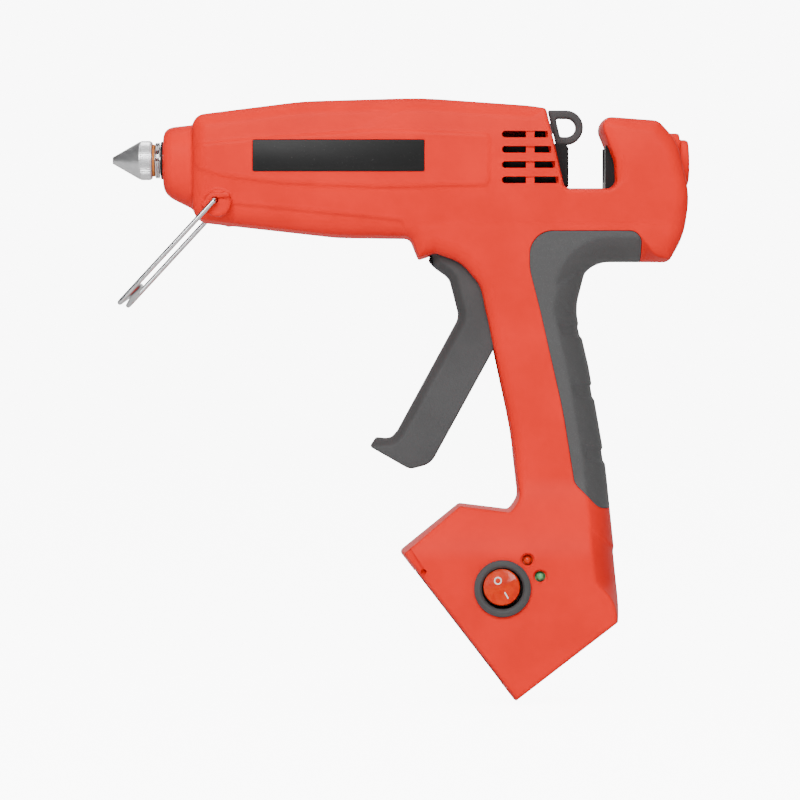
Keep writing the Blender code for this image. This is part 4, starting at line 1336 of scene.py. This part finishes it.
class GLUE_OT_switch(bpy.types.Operator):
    """Fit the round rocker switch with its bezel and marks"""

    bl_idname = "glue.switch"
    bl_label = "Rocker switch"

    def execute(self, context):
        sx, sz = SWITCH
        low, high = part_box("switch_body")
        front, back = -low.y / MM, -high.y / MM
        profile = round_profile([
            (28.55, 9.8, 0), (28.55, 11.5, 0.5), (front - 0.5, 11.5, 0.6), (front, 10.2, 1.0),
            (front, 9.1, 0.8), (front - 1.3, 8.3, 0.8), (20.0, 8.3, 0.2), (20.0, 0, 0),
            (14.0, 0, 0), (14.0, 9.8, 0.4)], math.radians(12))
        body = turned("bezel", profile, facing_left(sx, sz), 96)
        for step in (-1, 0, 1):
            x = sx + step * 5
            lug = box("lug", (x - 0.4, x + 0.4), (-15, back * -1), (sz - 2.4, sz + 2.4))
            union(body, bevelled(lug, 0.15, 2))
        piece(body, "switch_bezel", "housing", "grey_plastic", "switch_body")
        self.rocker(sx, sz)
        return {"FINISHED"}

    def rocker(self, sx, sz):
        """The clear rocker: a shallow saddle face, with a ring and a bar laid on it."""
        face, axis_depth = 29.4, 23.5
        radius = 7.4
        across = ROCKER_AXIS.normalized()
        up = Vector((-across.z, 0, across.x))
        swing = Matrix.Rotation(ROCKER_TILT, 4, ROCKER_AXIS)
        centre = Vector((sx, -axis_depth, sz)) * MM
        place = Matrix.Translation(centre) @ swing @ Matrix.Translation(-centre)
        rocker = turned("rocker", round_profile([
            (21.5, 0, 0), (21.5, radius, 0.3), (face, radius, 0.7), (face, 0, 0)],
            math.radians(12)), facing_left(sx, sz), 96)
        for side in (-1, 1):
            cut(rocker, self.wedge(sx, sz, face, up * side, across))
        rocker.data.transform(place)
        piece(rocker, "switch_rocker", "rocker", "red_lens", "rocker", sharp=20)
        ring = turned("ring", [(0, 1.05), (0, 1.6), (0.14, 1.6), (0.14, 1.05)],
                      facing_left(0, 0), 48)
        bar = box("bar", (-0.27, 0.27), (-0.14, 0), (-1.45, 1.45))
        turn = Matrix.Rotation(math.atan2(up.x, up.z), 4, "Y")
        for mark, offset, name in ((ring, 2.9, "off_mark"), (bar, -3.9, "on_mark")):
            tilt = Matrix.Rotation(math.copysign(math.radians(2.5), -offset), 4, "X")
            lift = face - 0.02 - abs(offset) * math.tan(math.radians(2.5))
            spot = (Vector((sx, -lift, sz)) + up * offset) * MM
            mark.data.transform(place @ Matrix.Translation(spot) @ turn @ tilt)
            piece(mark, name, "rocker", "red_lens", material="mark")

    @staticmethod
    def wedge(sx, sz, face, up, across):
        """What is cut off one side of the face, so that it falls away from its middle."""
        drop = 9 * math.tan(math.radians(2.5))
        middle = Vector((sx, -face, sz))
        out = Vector((0, -1, 0))
        shape = bmesh.new()
        ends = []
        for along in (-9, 9):
            base = middle + across * along
            ends.append([shape.verts.new(point * MM) for point in (
                base, base + up * 9 - out * drop, base + up * 9 + out * 2, base + out * 2)])
        for k in range(4):
            shape.faces.new([ends[0][k], ends[0][(k + 1) % 4], ends[1][(k + 1) % 4], ends[1][k]])
        shape.faces.new(ends[0])
        shape.faces.new(ends[1])
        return solid_from("wedge", shape)


class GLUE_OT_lamps(bpy.types.Operator):
    """Fit the two signal lamps in their recesses"""

    bl_idname = "glue.lamps"
    bl_label = "Signal lamps"

    def execute(self, context):
        for name, (x, z) in LAMPS.items():
            low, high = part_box(name)
            front, back = -low.y / MM, -high.y / MM
            lens = turned("lens", round_profile([
                (back, 0, 0), (back, 1.5, 0), (23.6, 1.5, 0), (23.6, 2.3, 0.1), (24.6, 2.3, 0.1),
                (24.6, 1.5, 0), (front, 1.5, 1.2), (front, 0, 0)], math.radians(12)),
                facing_left(x, z), 40)
            slot = "red_lens" if name == "led_red" else "green_lens"
            piece(lens, "lamp_" + name.split("_")[1], "housing", slot, name)
        return {"FINISHED"}


class GLUE_OT_inner_parts(bpy.types.Operator):
    """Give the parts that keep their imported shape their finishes"""

    bl_idname = "glue.inner_parts"
    bl_label = "Inner parts"

    def execute(self, context):
        for part in frame["record"]["subparts"]:
            node = frame["nodes"][part["node"]]
            node.data.materials.clear()
            node.data.materials.append(finish_of(part["material_slot"]))
        return {"FINISHED"}


# ---------------------------------------------------------------- stage

def area_light(name, place, target, size, power):
    """A rectangular soft light that looks at a point."""
    data = bpy.data.lights.new(name, "AREA")
    data.shape = "RECTANGLE"
    data.size, data.size_y = size
    data.energy = power
    light = in_scene(name, data)
    light.location = place
    light.rotation_euler = (Vector(target) - Vector(place)).to_track_quat("-Z", "Y").to_euler()
    return light


class GLUE_OT_stage(bpy.types.Operator):
    """Set the pale floor, the soft lights and the camera"""

    bl_idname = "glue.stage"
    bl_label = "Stage"

    def execute(self, context):
        settings = context.scene.glue_stage
        shape = bmesh.new()
        bmesh.ops.create_circle(shape, cap_ends=True, segments=96, radius=6.0)
        mesh = bpy.data.meshes.new("floor")
        shape.to_mesh(mesh)
        shape.free()
        floor = in_scene("floor", mesh)
        floor.location.z = -0.0004
        finish = Finish("floor", settings.floor, 0.8, Specular_IOR_Level=0.1,
                        Emission_Color=(1, 1, 1, 1))
        seen = finish.node("ShaderNodeLightPath").outputs["Is Camera Ray"]
        finish.tree.links.new((Value(finish, seen) * 9.0).socket,
                              finish.shader.inputs["Emission Strength"])
        floor.data.materials.append(finish.material)
        aim = (0, 0, settings.height)
        area_light("key", (-0.2, -1.6, 1.0), aim, (1.2, 0.8), 36)
        area_light("top", (0.0, 0.0, 1.5), aim, (1.4, 1.0), 9)
        world = bpy.data.worlds.new("studio")
        world.use_nodes = True
        context.scene.world = world
        graph = Graph(world.node_tree)
        sky = world.node_tree.nodes["Background"]
        seen = graph.node("ShaderNodeBackground", None, {"Color": (1, 1, 1, 1), "Strength": 9.0})
        sky.inputs["Color"].default_value = (1, 1, 1, 1)
        place = graph.node("ShaderNodeTexCoord").outputs["Generated"]
        behind = graph.node("ShaderNodeSeparateXYZ", None, {0: place}).outputs["Y"]
        glow = graph.node("ShaderNodeMapRange", {"interpolation_type": "SMOOTHSTEP"}, {
            "Value": behind, "From Min": 0.6, "From Max": 0.98, "To Min": 0.12, "To Max": 1.3})
        graph.tree.links.new(glow.outputs[0], sky.inputs["Strength"])
        path = graph.node("ShaderNodeLightPath")
        mix = graph.node("ShaderNodeMixShader", None, {
            0: path.outputs["Is Camera Ray"], 1: sky.outputs[0], 2: seen.outputs[0]})
        graph.tree.links.new(mix.outputs[0], world.node_tree.nodes["World Output"].inputs[0])
        data = bpy.data.cameras.new("camera")
        data.sensor_width = 36.0
        data.lens = data.sensor_width * settings.distance / settings.width
        camera = in_scene("camera", data)
        camera.location = (-0.0004, -settings.distance, settings.height)
        camera.rotation_euler = (math.pi / 2, 0, 0)
        context.scene.camera = camera
        return {"FINISHED"}


# ---------------------------------------------------------------- add-on

class GLUE_PT_panel(bpy.types.Panel):
    """The glue gun's settings and operators"""

    bl_label = "Glue gun"
    bl_idname = "GLUE_PT_panel"
    bl_space_type = "VIEW_3D"
    bl_region_type = "UI"
    bl_category = "Glue gun"

    def draw(self, context):
        for owner, operators in PANEL:
            column = self.layout.box().column(align=True)
            settings = getattr(context.scene, owner, None)
            for key in getattr(settings, "__annotations__", {}):
                column.prop(settings, key)
            for operator in operators:
                column.operator(operator.bl_idname)


SETTINGS = {
    "glue_housing": HousingSettings, "glue_grip": GripSettings, "glue_trigger": TriggerSettings,
    "glue_head": HeadSettings, "glue_wire": WireSettings, "glue_switch": SwitchSettings,
    "glue_screws": ScrewSettings, "glue_stage": StageSettings,
}
PANEL = [
    ("glue_housing", (GLUE_OT_housing, GLUE_OT_labels)), ("glue_grip", ()),
    ("glue_trigger", (GLUE_OT_trigger, GLUE_OT_loop)), ("glue_head", (GLUE_OT_head,)),
    ("glue_wire", (GLUE_OT_stand, GLUE_OT_springs)),
    ("glue_switch", (GLUE_OT_switch, GLUE_OT_lamps)), ("glue_screws", (GLUE_OT_screws,)),
    ("inner", (GLUE_OT_inner_parts,)), ("glue_stage", (GLUE_OT_stage,)),
]


def register():
    for name, group in SETTINGS.items():
        bpy.utils.register_class(group)
        setattr(bpy.types.Scene, name, PointerProperty(type=group))
    for _, operators in PANEL:
        for operator in operators:
            bpy.utils.register_class(operator)
    bpy.utils.register_class(GLUE_PT_panel)


def unregister():
    bpy.utils.unregister_class(GLUE_PT_panel)
    for _, operators in reversed(PANEL):
        for operator in reversed(operators):
            bpy.utils.unregister_class(operator)
    for name, group in reversed(SETTINGS.items()):
        delattr(bpy.types.Scene, name)
        bpy.utils.unregister_class(group)


def main():
    register()
    for operator in ("stage", "inner_parts", "housing", "labels", "trigger", "loop", "stand",
                     "head", "screws", "springs", "switch", "lamps"):
        getattr(bpy.ops.glue, operator)()


if __name__ == "__main__":
    main()
